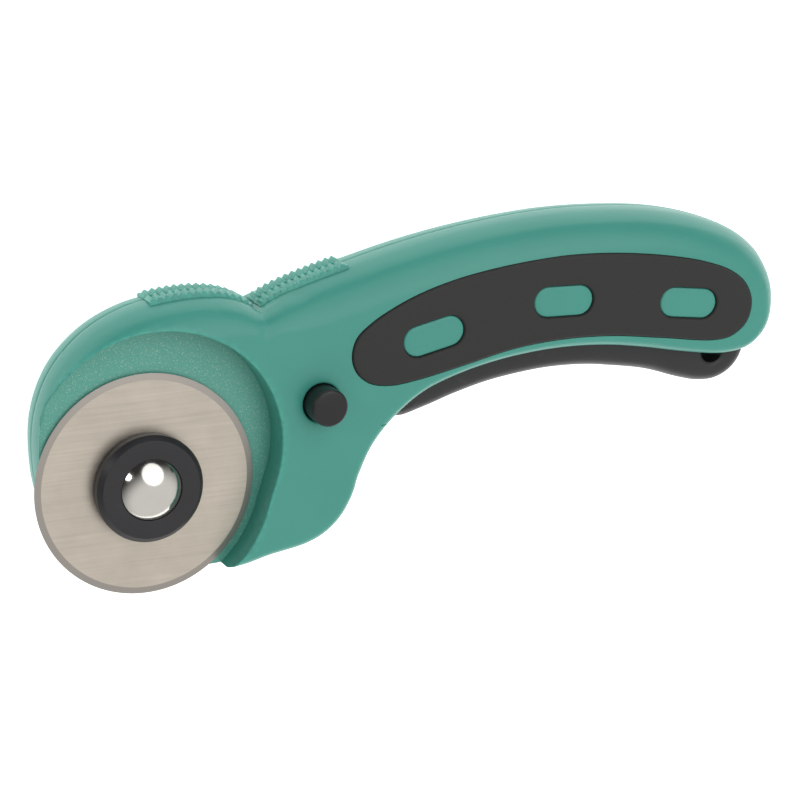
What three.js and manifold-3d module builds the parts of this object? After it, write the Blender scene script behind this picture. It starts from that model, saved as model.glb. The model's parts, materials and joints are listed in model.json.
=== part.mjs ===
// Rotary cutter with a squeeze trigger: two moulded shells, a trigger lever, and a blade arm between them.
// Built in mm with the extended blade's top face at z 0 and its axis on Z, then set down on its back:
// X runs along the handle, Z points out of the blade side.
import * as THREE from "three";
import Module from "manifold-3d";

const wasm = await Module();
wasm.setup();

// ---- driving sizes ----
const BLADE_R = 22.5;            // half of a standard 45 mm blade
const DRAWN_BLADE_R = 22.5;      // the blade that the outlines below are drawn round
const BLADE_THICK = 0.35;
const BLADE_BEVEL = 1.3;
const RECESS_CLEAR = 1.8;        // recess wall beyond the blade's edge
const FACE_Z = 5.7;              // front face of the shells
const PART_Z = -4.8;             // parting plane between the shells
const BACK_Z = 2 * PART_Z - FACE_Z;
const RECESS_FLOOR_Z = -0.8;
const FLOOR_THICK = 2;
const WALL = 2.2;                // shell side wall
const FACE_WALL = 2.8;           // shell face wall, enough to hold the inlay's pocket
const ROLL = 9;                  // width of the large roll-over along the top
const EDGE_ROLL = 2.5;           // width of the small roll-over along the bottom
const ROLL_EXTRA = 0.5;          // a roll-over is this much taller than wide
const GAP = 0.3;                 // general gap between neighbouring pieces
const RUN = 0.15;                // running gap round a pin
const SHELL_SEAM = 0.04;         // half of the seam between the shells
const CORE = 2;                  // bosses start this far inside the face

const ARM_PIN_R = 2;
const ARM_PIN_TOP = 2.2;
const ARM_PIVOT_ANGLE = -10.1;   // direction of the arm's pivot from the blade's axis
const PIN_COVER = 0.5;           // plastic between the arm's pin and the recess
const ARM_TURN = 16.5;           // degrees from blade out to blade in
const ARM_THICK = 3;
const ARM_HEAD_R = 9;
const TRIGGER_TURN = 6;
const TRIGGER_PIN_R = 1.5;
const TRIGGER_PIN_TOP = 3.7;
const LINK_PIN_R = 1.5;
const LINK_DROP = 2.3;           // link pin below the arm's pivot
const LOCK_R = 3.8;
const LOCK_PROUD = 4.6;
const LOCK_NECK_R = 2.6;
const LOCK_WALL = 2.4;           // plastic round the button's hole
const DETENT_WIRE = 0.7;

const ARM_TOP_Z = RECESS_FLOOR_Z - FLOOR_THICK - GAP;
const ARM_LOW_Z = ARM_TOP_Z - ARM_THICK;
const NOSE_THICK = 3;
const NOSE_TOP_Z = ARM_LOW_Z - GAP;
const NOSE_LOW_Z = NOSE_TOP_Z - NOSE_THICK;
const TRIGGER_HALF = 6;          // half thickness of the lever's grip
const LEVER_ROOM_Z = PART_Z + TRIGGER_HALF + GAP;
const DETENT_LOW_Z = LEVER_ROOM_Z + GAP;
const BOSS_R = 6.5;              // arm's boss that reaches through the recess floor

const HUB_R = 4.0;               // shoulder of the bolt that the blade turns on
const SHANK_R = 2.9;
const COLLAR_R = 10.75;
const COLLAR_TOP = 1.0;
const WASHER_TOP = 3.9;
const WASHER_R = 10.9;
const DOME_R = 6.15;
const DOME_H = 2.7;
const DOME_SEAT = 2.7;           // the dome sits in a shallow seat in the washer
const DOME_EDGE = 1.1;
const NUT_R = 8;
const NUT_FLUTES = 12;
const FLUTE_R = 1.2;
const NUT_OPENING_R = NUT_R + 3.2;
const REAR_WASHER_THICK = 0.8;
const REAR_WASHER_TOP = ARM_LOW_Z - RUN;
const SPRING_TOP = REAR_WASHER_TOP - REAR_WASHER_THICK - 0.1;
const NUT_TOP = SPRING_TOP - 1.2;

const INLAY_DEPTH = 1.2;
const INLAY_PROUD = 0.4;
const INLAY_GAP = 0.1;
const INLAY_EDGE = 0.5;

const SCREW_HEAD_R = 2.3;
const SCREW_SHANK_R = 1.1;
const SCREW_POST_R = 2.9;
const SCREW_SEAT = 1.2;          // underside of the head, behind the parting plane
const SCREW_REACH = 4.5;         // tip of the screw, in front of it
const SCREW_HEAD_Z = 2 * PART_Z - SCREW_SEAT;
const SCREW_TIP_Z = PART_Z + SCREW_REACH;

const RIB_PITCH = 1.5;
const RIB_WIDTH = 1.35;
const RIB_LENGTH = 3.9;
const RIB_SPANS = [[-22, -1], [1, 19.8]];   // from the notch, along the top

// ---- small helpers ----
const rad = (deg) => (deg * Math.PI) / 180;

function turn(p, centre, deg) {
  const c = Math.cos(rad(deg));
  const s = Math.sin(rad(deg));
  const x = p[0] - centre[0];
  const y = p[1] - centre[1];
  return [centre[0] + x * c - y * s, centre[1] + x * s + y * c];
}

const polar = (r, deg) => [r * Math.cos(rad(deg)), r * Math.sin(rad(deg))];

// a place drawn round the drawn blade, moved straight out from the axis by as much as the blade is larger
function spread([x, y, ...rest]) {
  const share = 1 + (BLADE_R - DRAWN_BLADE_R) / Math.hypot(x, y);
  return [x * share, y * share, ...rest];
}

function circlePoints(x, y, r, count = 40) {
  const points = [];
  for (let i = 0; i < count; i += 1) {
    const a = (2 * Math.PI * i) / count;
    points.push([x + r * Math.cos(a), y + r * Math.sin(a)]);
  }
  return points;
}

function hull(points) {
  const sorted = [...points].sort((a, b) => a[0] - b[0] || a[1] - b[1]);
  const side = (o, a, b) => (a[0] - o[0]) * (b[1] - o[1]) - (a[1] - o[1]) * (b[0] - o[0]);
  const half = (list) => {
    const chain = [];
    for (const p of list) {
      while (chain.length > 1 && side(chain[chain.length - 2], chain[chain.length - 1], p) <= 1e-9) {
        chain.pop();
      }
      chain.push(p);
    }
    chain.pop();
    return chain;
  };
  return [...half(sorted), ...half(sorted.reverse())];
}

// outline round a set of discs, each [x, y, r]
const band = (discs, count = 40) => hull(discs.flatMap(([x, y, r]) => circlePoints(x, y, r, count)));

function toShape(points) {
  return new THREE.Shape(points.map(([x, y]) => new THREE.Vector2(x, y)));
}

function plate(points, z0, z1) {
  const geometry = new THREE.ExtrudeGeometry(toShape(points), { depth: z1 - z0, bevelEnabled: false });
  return geometry.translate(0, 0, z0);
}

const disc = (x, y, r, z0, z1, count = 40) => plate(circlePoints(x, y, r, count), z0, z1);

// body of revolution about a Z axis through (x, y); profile is [radius, z] from bottom axis to top axis
function turned(x, y, profile, count = 40) {
  const points = profile.map(([r, z]) => new THREE.Vector2(r, z));
  const geometry = new THREE.LatheGeometry(points, count);
  return geometry.rotateX(Math.PI / 2).translate(x, y, 0);
}

function weld(geometry) {
  const position = geometry.getAttribute("position");
  const index = geometry.index ? Array.from(geometry.index.array) : [...Array(position.count).keys()];
  const seen = new Map();
  const verts = [];
  const remap = new Array(position.count);
  for (let i = 0; i < position.count; i += 1) {
    const p = [position.getX(i), position.getY(i), position.getZ(i)];
    const key = p.map((v) => Math.round(v * 1e4)).join(",");
    if (!seen.has(key)) {
      seen.set(key, verts.length / 3);
      verts.push(...p);
    }
    remap[i] = seen.get(key);
  }
  const tris = [];
  for (let i = 0; i < index.length; i += 3) {
    const t = [remap[index[i]], remap[index[i + 1]], remap[index[i + 2]]];
    if (t[0] !== t[1] && t[1] !== t[2] && t[2] !== t[0]) {
      tris.push(...t);
    }
  }
  return { verts, tris };
}

function solid(geometry) {
  const { verts, tris } = weld(geometry);
  const mesh = new wasm.Mesh({
    numProp: 3,
    vertProperties: new Float32Array(verts),
    triVerts: new Uint32Array(tris),
  });
  const made = new wasm.Manifold(mesh);
  if (made.volume() < 0) {
    throw new Error("inside out");
  }
  return made;
}

const join = (...geometries) => geometries.map((g) => (g.getAttribute ? solid(g) : g)).reduce((a, b) => a.add(b));

function cut(body, ...tools) {
  return tools.map((g) => (g.getAttribute ? solid(g) : g)).reduce((a, b) => a.subtract(b), body);
}

function toGeometry(manifold) {
  const mesh = manifold.getMesh();
  const geometry = new THREE.BufferGeometry();
  const stride = mesh.numProp;
  const count = mesh.vertProperties.length / stride;
  const position = new Float32Array(count * 3);
  for (let i = 0; i < count; i += 1) {
    for (let k = 0; k < 3; k += 1) {
      position[i * 3 + k] = mesh.vertProperties[i * stride + k];
    }
  }
  geometry.setAttribute("position", new THREE.BufferAttribute(position, 3));
  geometry.setIndex(Array.from(mesh.triVerts));
  return geometry;
}

// ---- outlines, drawn round a blade of DRAWN_BLADE_R ----
const ARM_PIVOT = polar(BLADE_R + RECESS_CLEAR + ARM_PIN_R + PIN_COVER, ARM_PIVOT_ANGLE);
const TRIGGER_PIVOT = spread([45, 14]);
const LOCK_AT = spread([35.2, 13.9]);
// [x, y, roll-over width] anticlockwise from the notch between head and handle, over the head, round to the notch
const BODY = [
  [24.2, 32.6, 5], [20.3, 35.0, 7], [15.7, 36.4, 8.5], [8, 36.7, ROLL], [-2, 35.1, ROLL], [-10.5, 31.0, ROLL],
  [-17.3, 24.0, ROLL], [-20.9, 14.8, ROLL], [-21.2, 4.0, ROLL], [-19.4, -3.0, 7], [-15.9, -8.6, 5],
  [-10, -12.9, 3.5], [-2, -15.8, EDGE_ROLL], [5.5, -16.9, EDGE_ROLL], [12.5, -18.7, EDGE_ROLL],
  [18.5, -18.3, EDGE_ROLL], [24, -17.1, EDGE_ROLL], [32.6, -15.6, EDGE_ROLL], [37, -13.5, EDGE_ROLL],
  [40.6, -9.9, EDGE_ROLL], [43.4, -3.8, EDGE_ROLL], [46.8, 3.0, EDGE_ROLL], [51.4, 8.2, EDGE_ROLL],
  [57.9, 12.8, EDGE_ROLL], [66, 15.7, EDGE_ROLL], [76, 17.7, EDGE_ROLL], [87.8, 18.6, EDGE_ROLL],
  [99, 18.1, EDGE_ROLL], [109, 16.5, EDGE_ROLL], [119, 14.4, EDGE_ROLL], [128.1, 13.1, EDGE_ROLL],
  [134.0, 13.9, EDGE_ROLL], [137.6, 16.1, 3.2], [139.8, 19.0, 4], [141.1, 23.4, 5.5], [141.1, 27.8, 7],
  [138.8, 33.6, ROLL], [133.6, 38.1, ROLL], [125.5, 41.8, ROLL], [114.5, 44.6, ROLL], [101, 46.0, ROLL],
  [88, 46.2, ROLL], [72, 44.9, ROLL], [58, 42.7, ROLL], [44, 39.5, ROLL], [33.7, 36.7, 8.5], [28.2, 34.7, 7],
  [24.2, 32.6, 5],
].map(spread);
const BODY_STEPS = 104;

// rubber inlay, clockwise from its left tip
const INLAY = [
  [41.6, 22.3], [42.6, 26.2], [45.8, 29.0], [50.5, 31.6], [56.5, 34.0], [64, 36.0], [72.5, 37.4], [82, 38.3],
  [91, 38.6], [102.2, 37.9], [113.6, 36.2], [122.3, 34.1], [128.4, 31.6], [132.0, 28.6], [133.6, 24.4],
  [132.6, 20.2], [129.2, 17.5], [125.0, 16.9], [111.3, 18.9], [100, 20.5], [89, 21.0], [78, 20.3], [66, 18.0],
  [56, 16.2], [50, 15.7], [45.6, 16.6], [42.7, 19.0],
].map(spread);
const INLAY_STEPS = 60;
const ISLANDS = [[59.5, 24.9, 11.6], [88.7, 29.1, -2.4], [118.1, 25.7, -8]].map(spread);
const ISLAND_LENGTH = 13.4;
const ISLAND_WIDTH = 6.3;

// finger side of the lever, then its inner side
const LEVER = [
  [50.6, 9.0], [54.0, 7.0], [59.8, 8.1], [67, 10.2], [74.3, 11.9], [82, 12.9], [89, 13.3], [96.7, 13.0], [104.3, 11.9],
  [112.1, 10.3], [120, 7.6], [124.6, 6.4], [128.8, 6.3], [132.6, 7.9], [135.3, 11.2], [136.1, 15.6], [134.6, 20],
  [131, 23.3], [126, 24.4], [110, 24.0], [98, 25.2], [86, 25.0], [74, 23.0], [62, 19.8], [52, 17.5],
  [49, 13.5],
].map(spread);
const LEVER_ROLL = 3.2;
const HANG_HOLE = spread([127.1, 13.2, 2.7]);

function sampleOpen(points, steps) {
  const curve = new THREE.CatmullRomCurve3(points.map((p) => new THREE.Vector3(...p)), false, "centripetal");
  return curve.getSpacedPoints(steps).slice(0, steps);
}

function sampleClosed(points, steps) {
  const curve = new THREE.CatmullRomCurve3(points.map((p) => new THREE.Vector3(p[0], p[1], 0)), true, "centripetal");
  return curve.getSpacedPoints(steps).slice(0, steps).map((p) => [p.x, p.y]);
}

// inward direction at each corner, stretched so that both sides keep their distance
function inwardDirections(points) {
  const count = points.length;
  return points.map((p, i) => {
    const a = points[(i + count - 1) % count];
    const b = points[(i + 1) % count];
    const d1 = new THREE.Vector2(p[0] - a[0], p[1] - a[1]).normalize();
    const d2 = new THREE.Vector2(b[0] - p[0], b[1] - p[1]).normalize();
    const n1 = new THREE.Vector2(-d1.y, d1.x);
    const n2 = new THREE.Vector2(-d2.y, d2.x);
    const middle = n1.clone().add(n2).normalize();
    const stretch = 1 / Math.max(0.6, middle.dot(n1));
    return [middle.x * stretch, middle.y * stretch];
  });
}

function inset(points, distance) {
  const inward = inwardDirections(points);
  return points.map((p, i) => {
    const d = Array.isArray(distance) ? distance[i] : distance;
    return [p[0] + inward[i][0] * d, p[1] + inward[i][1] * d];
  });
}

// closed body from a stack of rings; every ring is a list of [x, y, z] with the same count
function ringStack(rings) {
  const count = rings[0].length;
  const verts = rings.flat(2);
  const tris = [];
  for (let k = 0; k + 1 < rings.length; k += 1) {
    for (let i = 0; i < count; i += 1) {
      const j = (i + 1) % count;
      const a = k * count + i;
      const b = k * count + j;
      tris.push(a, b, b + count, a, b + count, a + count);
    }
  }
  const cap = (ring, base, up) => {
    const contour = ring.map(([x, y]) => new THREE.Vector2(x, y));
    for (const [a, b, c] of THREE.ShapeUtils.triangulateShape(contour, [])) {
      tris.push(...(up ? [base + a, base + b, base + c] : [base + a, base + c, base + b]));
    }
  };
  cap(rings[0], 0, false);
  cap(rings[rings.length - 1], (rings.length - 1) * count, true);
  const geometry = new THREE.BufferGeometry();
  geometry.setAttribute("position", new THREE.BufferAttribute(new Float32Array(verts), 3));
  geometry.setIndex(tris);
  return geometry;
}

const bodyLine = sampleOpen(BODY, BODY_STEPS);
const bodyPoints = bodyLine.map((p) => [p.x, p.y]);
const bodyRolls = bodyLine.map((p) => p.z);

const INNER_ROLL_SHARE = 0.6;    // how much faster than the wall the inner roll-over narrows
const LEAST_ROLL = 0.8;

// half of the body from z0 up to the face, with its roll-over; shrink moves the whole skin inward
function rolledHalf(z0, faceZ, shrink) {
  const angles = shrink > 1 ? [0, 45, 90] : [0, 22, 45, 67, 90];
  const ring = (a) => {
    const rolls = bodyRolls.map((w) => Math.max(w - shrink * INNER_ROLL_SHARE, LEAST_ROLL));
    const moved = inset(bodyPoints, rolls.map((w) => shrink + w * (1 - Math.cos(rad(a)))));
    return moved.map(([x, y], i) => [x, y, faceZ - (rolls[i] + ROLL_EXTRA) * (1 - Math.sin(rad(a)))]);
  };
  const foot = inset(bodyPoints, shrink).map(([x, y]) => [x, y, z0]);
  return ringStack([foot, ...angles.map(ring)]);
}

// ---- sweeps ----
const bladeOut = [0, 0];
const bladeIn = turn(bladeOut, ARM_PIVOT, -ARM_TURN);
const bladeSweep = (r) => band([[...bladeOut, r], [...bladeIn, r]], 72);
const armRatio = ARM_TURN / TRIGGER_TURN;
const linkX = ARM_PIVOT[0] - (TRIGGER_PIVOT[0] - ARM_PIVOT[0]) / (armRatio - 1);
const linkAt = [linkX, ARM_PIVOT[1] - LINK_DROP];

// where the link pin runs in the lever's own frame as the lever opens
function linkPath() {
  const path = [];
  for (let k = 0; k <= 6; k += 1) {
    const world = turn(linkAt, ARM_PIVOT, (-ARM_TURN * k) / 6);
    path.push(turn(world, TRIGGER_PIVOT, (TRIGGER_TURN * k) / 6));
  }
  return path;
}

// room for a lever outline over its whole swing
function swingRoom(points, clear, low, high) {
  const wide = inset(points, -clear);
  const parts = [];
  for (const angle of [0, -TRIGGER_TURN]) {
    parts.push(plate(wide.map((p) => turn(p, TRIGGER_PIVOT, angle)), low, high));
  }
  return join(...parts);
}

const leverPoints = sampleClosed(LEVER, 56);
const armPoints = band([[...bladeOut, ARM_HEAD_R], [...ARM_PIVOT, ARM_PIN_R + 4]]);
const hubR = TRIGGER_PIN_R + 4.3;
const lockRoomR = LOCK_R + GAP;
const noseBend = spread([22, 6, 4.5]);
const nosePoints = [
  band([[...TRIGGER_PIVOT, hubR], noseBend]),
  band([noseBend, [...linkAt, LINK_PIN_R + 2.9]]),
  circlePoints(...LOCK_AT, lockRoomR + 2.2),
];
const hubPoints = band([[...TRIGGER_PIVOT, hubR], spread([55, 13, 4])], 24);

// ---- ribs of the thumb rest ----
function ribRow(list, width, z0, z1) {
  return list.map(([x, y, a]) => {
    const bar = new THREE.CylinderGeometry(width / 2, width / 2, z1 - z0, 4);
    return bar.rotateX(Math.PI / 2).rotateZ(rad(a)).translate(x, y, (z0 + z1) / 2);
  });
}

// points along the body's top edge between two x values, one rib pitch apart
function ribPlaces(x0, x1, shift) {
  const crown = BODY[0][1] - 2.6;
  const top = bodyPoints.filter(([x, y]) => y > crown && x > x0 - 3 && x < x1 + 3).sort((a, b) => a[0] - b[0]);
  const heightAt = (x) => {
    const k = top.findIndex((p) => p[0] >= x);
    const [a, b] = [top[Math.max(k - 1, 0)], top[Math.max(k, 1)]];
    return a[1] + ((b[1] - a[1]) * (x - a[0])) / (b[0] - a[0]);
  };
  const places = [];
  let x = x0 + shift * RIB_PITCH;
  while (x < x1) {
    const slope = (heightAt(x + 0.2) - heightAt(x - 0.2)) / 0.4;
    places.push([x, heightAt(x) - 0.1, (Math.atan(slope) * 180) / Math.PI]);
    x += RIB_PITCH / Math.hypot(1, slope);
  }
  return places;
}

// height of the handle's inner roof over x, at a distance from the parting plane
function roofAt(x, away) {
  const outside = bodyPoints.filter(([px]) => Math.abs(px - x) < 4).reduce((top, [, y]) => Math.max(top, y), 0);
  const width = ROLL - WALL * INNER_ROLL_SHARE;
  const lift = Math.min(1, (FACE_Z - FACE_WALL - PART_Z - away) / (width + ROLL_EXTRA));
  return outside - WALL - width * (1 - Math.sqrt(1 - (1 - lift) ** 2));
}

// ---- fasteners and bosses ----
const SCREWS = {
  head_screw: spread([16.6, 31.4]),
  neck_screw: spread([41.5, 30.6]),
  heel_screw: spread([35.4, -9.6]),
  tail_screw: spread([136.4, 27.6]),
};

const inlayPoints = sampleClosed(INLAY, INLAY_STEPS).reverse();

function stadium([x, y, a], grow) {
  const h = (ISLAND_LENGTH - ISLAND_WIDTH) / 2;
  const r = ISLAND_WIDTH / 2 + grow;
  const c = Math.cos(rad(a));
  const s = Math.sin(rad(a));
  return band([[x - h * c, y - h * s, r], [x + h * c, y + h * s, r]], 24);
}

// mirror a front-side solid to the rear side of the parting plane
function mirrored(manifold) {
  return manifold.mirror([0, 0, 1]).translate([0, 0, 2 * PART_Z]);
}

function inlaySolid() {
  const top = FACE_Z + INLAY_PROUD;
  const outline = inset(inlayPoints, INLAY_GAP);
  const low = FACE_Z - INLAY_DEPTH + INLAY_GAP;
  const edge = ringStack([
    outline.map(([x, y]) => [x, y, low]),
    outline.map(([x, y]) => [x, y, top - INLAY_EDGE]),
    inset(outline, INLAY_EDGE).map(([x, y]) => [x, y, top]),
  ]);
  const windows = ISLANDS.map((at) => plate(stadium(at, INLAY_GAP), low - 1, top + 1));
  return cut(solid(edge), ...windows);
}

function inlayPocket() {
  const pocket = solid(plate(inlayPoints, FACE_Z - INLAY_DEPTH, FACE_Z + 1));
  return cut(pocket, ...ISLANDS.map((at) => plate(stadium(at, 0), FACE_Z - INLAY_DEPTH - 1, FACE_Z + 2)));
}

// hollow of one half, open at the parting plane; the front half keeps a floor between arm and blade
function hollow(isFront) {
  const inner = solid(rolledHalf(PART_Z - 1, FACE_Z - FACE_WALL, WALL));
  if (!isFront) {
    return inner;
  }
  const overArm = plate(bladeSweep(BLADE_R + RECESS_CLEAR + WALL - 0.4), RECESS_FLOOR_Z - FLOOR_THICK, FACE_Z + 1);
  return cut(inner, overArm);
}

function halfShell(isFront) {
  const ribs = [];
  for (const [from, to] of RIB_SPANS) {
    const places = ribPlaces(BODY[0][0] + from, BODY[0][0] + to, isFront ? 0 : 0.5);
    ribs.push(...ribRow(places, RIB_WIDTH, PART_Z + SHELL_SEAM, PART_Z + RIB_LENGTH));
  }
  const outer = join(rolledHalf(PART_Z + SHELL_SEAM, FACE_Z, 0), ...ribs);
  const bosses = Object.values(SCREWS).map(([x, y]) => disc(x, y, SCREW_POST_R, PART_Z + SHELL_SEAM, FACE_Z - CORE, 24));
  const clipped = join(...bosses).intersect(solid(rolledHalf(PART_Z + SHELL_SEAM, FACE_Z, 0.6)));
  return cut(outer, hollow(isFront)).add(clipped);
}

const recess = () => plate(bladeSweep(BLADE_R + RECESS_CLEAR), RECESS_FLOOR_Z, FACE_Z + 3);

function leverRoom(low, high) {
  return swingRoom(leverPoints, 0.7, low, high).add(swingRoom(hubPoints, 0.5, low, high));
}

// bosses for the pins and the button; the arm's boss starts at armBossZ
function withBosses(half, armBossR, armBossZ) {
  const top = FACE_Z - CORE;
  return join(
    half,
    disc(...ARM_PIVOT, armBossR, armBossZ, top, 32),
    disc(...TRIGGER_PIVOT, TRIGGER_PIN_R + 1.7, LEVER_ROOM_Z, top, 32),
    disc(...LOCK_AT, LOCK_R + LOCK_WALL, LEVER_ROOM_Z, top + 0.2, 40),
  );
}

function frontShell() {
  const low = PART_Z - 1;
  const body = cut(
    withBosses(halfShell(true), ARM_PIN_R + 2.2, RECESS_FLOOR_Z - FLOOR_THICK),
    recess(),
    leverRoom(low, LEVER_ROOM_Z),
    inlayPocket(),
    plate(bladeSweep(BOSS_R + 2 * GAP), RECESS_FLOOR_Z - FLOOR_THICK - 1, 0),
    disc(...ARM_PIVOT, ARM_PIN_R + RUN, low, ARM_PIN_TOP + GAP, 24),
    disc(...TRIGGER_PIVOT, TRIGGER_PIN_R + RUN, low, TRIGGER_PIN_TOP + GAP, 24),
    disc(...LOCK_AT, LOCK_R + 0.2, low, FACE_Z + 1),
    disc(...LOCK_AT, LOCK_R + DETENT_WIRE + 0.4, DETENT_LOW_Z, DETENT_LOW_Z + DETENT_WIRE + 0.5),
  );
  const shanks = Object.values(SCREWS).map(([x, y]) => disc(x, y, SCREW_SHANK_R + 0.1, low, SCREW_TIP_Z + 0.4, 16));
  return cut(body, ...shanks);
}

function rearShell() {
  const low = PART_Z - 1;
  const underArm = 2 * PART_Z - ARM_LOW_Z + 2 * GAP;
  let body = cut(
    withBosses(halfShell(false), ARM_PIN_R + 1.2, underArm),
    leverRoom(low, LEVER_ROOM_Z),
    inlayPocket(),
    plate(bladeSweep(NUT_OPENING_R), low, FACE_Z + 1),
    disc(...ARM_PIVOT, ARM_PIN_R + RUN, low, TRIGGER_PIN_TOP + GAP, 24),
    disc(...TRIGGER_PIVOT, TRIGGER_PIN_R + RUN, low, TRIGGER_PIN_TOP + GAP, 24),
    disc(...LOCK_AT, LOCK_R + 0.2, low, FACE_Z + 1),
  );
  for (const [x, y] of Object.values(SCREWS)) {
    body = cut(
      body,
      disc(x, y, SCREW_SHANK_R + 0.2, low, FACE_Z, 16),
      disc(x, y, SCREW_HEAD_R + GAP, SCREW_SEAT, FACE_Z + 1, 24),
    );
  }
  return mirrored(body);
}

// ---- lever and arm ----
function triggerLever() {
  const roll = (a) => {
    const ring = inset(leverPoints, LEVER_ROLL * (1 - Math.cos(rad(a))));
    const drop = LEVER_ROLL * (1 - Math.sin(rad(a)));
    return [ring, drop];
  };
  const rings = [];
  for (const a of [90, 60, 30, 0]) {
    const [ring, drop] = roll(a);
    rings.push(ring.map(([x, y]) => [x, y, PART_Z - TRIGGER_HALF + drop]));
  }
  for (const a of [0, 30, 60, 90]) {
    const [ring, drop] = roll(a);
    rings.push(ring.map(([x, y]) => [x, y, PART_Z + TRIGGER_HALF - drop]));
  }
  const path = linkPath();
  const nose = nosePoints.map((points) => plate(points, NOSE_LOW_Z, NOSE_TOP_Z));
  const hub = plate(hubPoints, PART_Z - TRIGGER_HALF, PART_Z + TRIGGER_HALF);
  const lockSlot = band([0, 0.5, 1].map((k) => [...turn(LOCK_AT, TRIGGER_PIVOT, TRIGGER_TURN * k), lockRoomR]));
  return cut(
    join(ringStack(rings), hub, ...nose),
    disc(...TRIGGER_PIVOT, TRIGGER_PIN_R + RUN, -20, 10, 24),
    plate(lockSlot, -20, 10),
    plate(band(path.map((p) => [...p, LINK_PIN_R + 0.35]), 24), -20, 10),
    disc(...HANG_HOLE, -20, 10, 32),
    springSeat(),
  );
}

function bladeArm() {
  return cut(
    join(plate(armPoints, ARM_LOW_Z, ARM_TOP_Z), disc(...bladeOut, BOSS_R, ARM_LOW_Z, -BLADE_THICK - RUN)),
    disc(...bladeOut, SHANK_R + RUN, -20, 10, 32),
    disc(...ARM_PIVOT, ARM_PIN_R + RUN, -20, 10, 24),
    disc(...linkAt, LINK_PIN_R + 0.05, -20, 10, 24),
  );
}

const pin = ([x, y], r, z0, z1) => {
  const c = 0.3;
  return turned(x, y, [[0, z0], [r - c, z0], [r, z0 + c], [r, z1 - c], [r - c, z1], [0, z1]], 24);
};

// ---- blade stack ----
function ring(at, inner, outer, z0, z1, count = 48) {
  return cut(solid(disc(...at, outer, z0, z1, count)), disc(...at, inner, z0 - 1, z1 + 1, 32));
}

function rotaryBlade() {
  const flatR = BLADE_R - BLADE_BEVEL;
  const profile = [[0, -BLADE_THICK], [flatR, -BLADE_THICK], [BLADE_R, -BLADE_THICK / 2], [flatR, 0], [0, 0]];
  return cut(solid(turned(...bladeOut, profile, 96)), disc(...bladeOut, HUB_R + 0.1, -5, 5, 32));
}

function bladeCollar() {
  return cut(solid(disc(...bladeOut, COLLAR_R, RUN, COLLAR_TOP, 56)), disc(...bladeOut, HUB_R + 0.15, -5, 5, 32));
}

function bladeWasher() {
  const low = COLLAR_TOP + 0.1;
  const profile = [
    [0, low], [WASHER_R - 0.3, low], [WASHER_R, low + 0.3], [WASHER_R, WASHER_TOP - 1],
    [WASHER_R - 1, WASHER_TOP], [0, WASHER_TOP],
  ];
  return cut(
    solid(turned(...bladeOut, profile, 64)),
    disc(...bladeOut, HUB_R + 0.15, -5, 9, 32),
    disc(...bladeOut, DOME_R + 0.2, DOME_SEAT - 0.1, 9, 48),
  );
}

function bladeBolt() {
  const rim = DOME_SEAT + DOME_EDGE;
  const sphereR = (DOME_R * DOME_R + DOME_H * DOME_H) / (2 * DOME_H);
  const dome = [];
  const full = Math.asin(DOME_R / sphereR);
  for (let i = 1; i <= 6; i += 1) {
    const a = full * (1 - i / 6);
    dome.push([sphereR * Math.sin(a), rim + DOME_H - sphereR * (1 - Math.cos(a))]);
  }
  dome[dome.length - 1][0] = 0;
  const tip = BACK_Z + 0.9;
  return turned(...bladeOut, [
    [0, tip], [SHANK_R - 0.4, tip], [SHANK_R, tip + 0.4], [SHANK_R, -BLADE_THICK - 0.05], [HUB_R, -BLADE_THICK - 0.05],
    [HUB_R, DOME_SEAT], [DOME_R, DOME_SEAT], [DOME_R, rim], ...dome,
  ], 40);
}

function springWasher() {
  const inner = SHANK_R + 0.2;
  const outer = 6.2;
  const profile = [
    [inner, SPRING_TOP - 0.5], [outer, SPRING_TOP - 1.05], [outer, SPRING_TOP - 0.65], [inner, SPRING_TOP - 0.1],
    [inner, SPRING_TOP - 0.5],
  ];
  return solid(turned(...bladeOut, profile, 40));
}

function bladeNut() {
  const low = BACK_Z + 2 * GAP;
  const flutes = [];
  for (let i = 0; i < NUT_FLUTES; i += 1) {
    flutes.push(disc(...polar(NUT_R + 0.6, (360 * i) / NUT_FLUTES), FLUTE_R, low - 1, NUT_TOP + 1, 12));
  }
  return cut(solid(disc(...bladeOut, NUT_R, low, NUT_TOP, 60)), disc(...bladeOut, SHANK_R + 0.12, -30, 5, 32), ...flutes);
}

// ---- lock ----
function lockButton() {
  const top = FACE_Z + LOCK_PROUD;
  const low = BACK_Z + GAP;
  const neckLow = PART_Z - 0.8;
  const neckTop = PART_Z + 3.2;
  return turned(...LOCK_AT, [
    [0, low], [LOCK_R - 0.6, low], [LOCK_R, low + 0.6], [LOCK_R, neckLow], [LOCK_NECK_R, neckLow],
    [LOCK_NECK_R, neckTop], [LOCK_R, neckTop], [LOCK_R, top - 1], [LOCK_R - 0.35, top - 0.35], [LOCK_R - 1, top], [0, top],
  ], 40);
}

function detentRing() {
  const [x, y] = LOCK_AT;
  const inner = LOCK_R + 0.25;
  const low = DETENT_LOW_Z + 0.25;
  const body = ring(LOCK_AT, inner, LOCK_R + DETENT_WIRE + 0.15, low, low + DETENT_WIRE, 40);
  const far = y - LOCK_R - 2;
  const near = y - LOCK_R + 1;
  return cut(body, plate([[x - 1, far], [x + 1, far], [x + 1, near], [x - 1, near]], low - 1, low + 2));
}

// ---- return spring: axis along Y, between the lever and the roof of the handle ----
const [SPRING_X, SPRING_LOW_Y] = spread([70, 18.2]);
const SPRING_R = 3.0;
const SPRING_WIRE = 0.8;
const SPRING_HIGH_Y = roofAt(SPRING_X, SPRING_R + SPRING_WIRE / 2) - 2 * GAP;
const SPRING_TURNS = 7;

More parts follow.
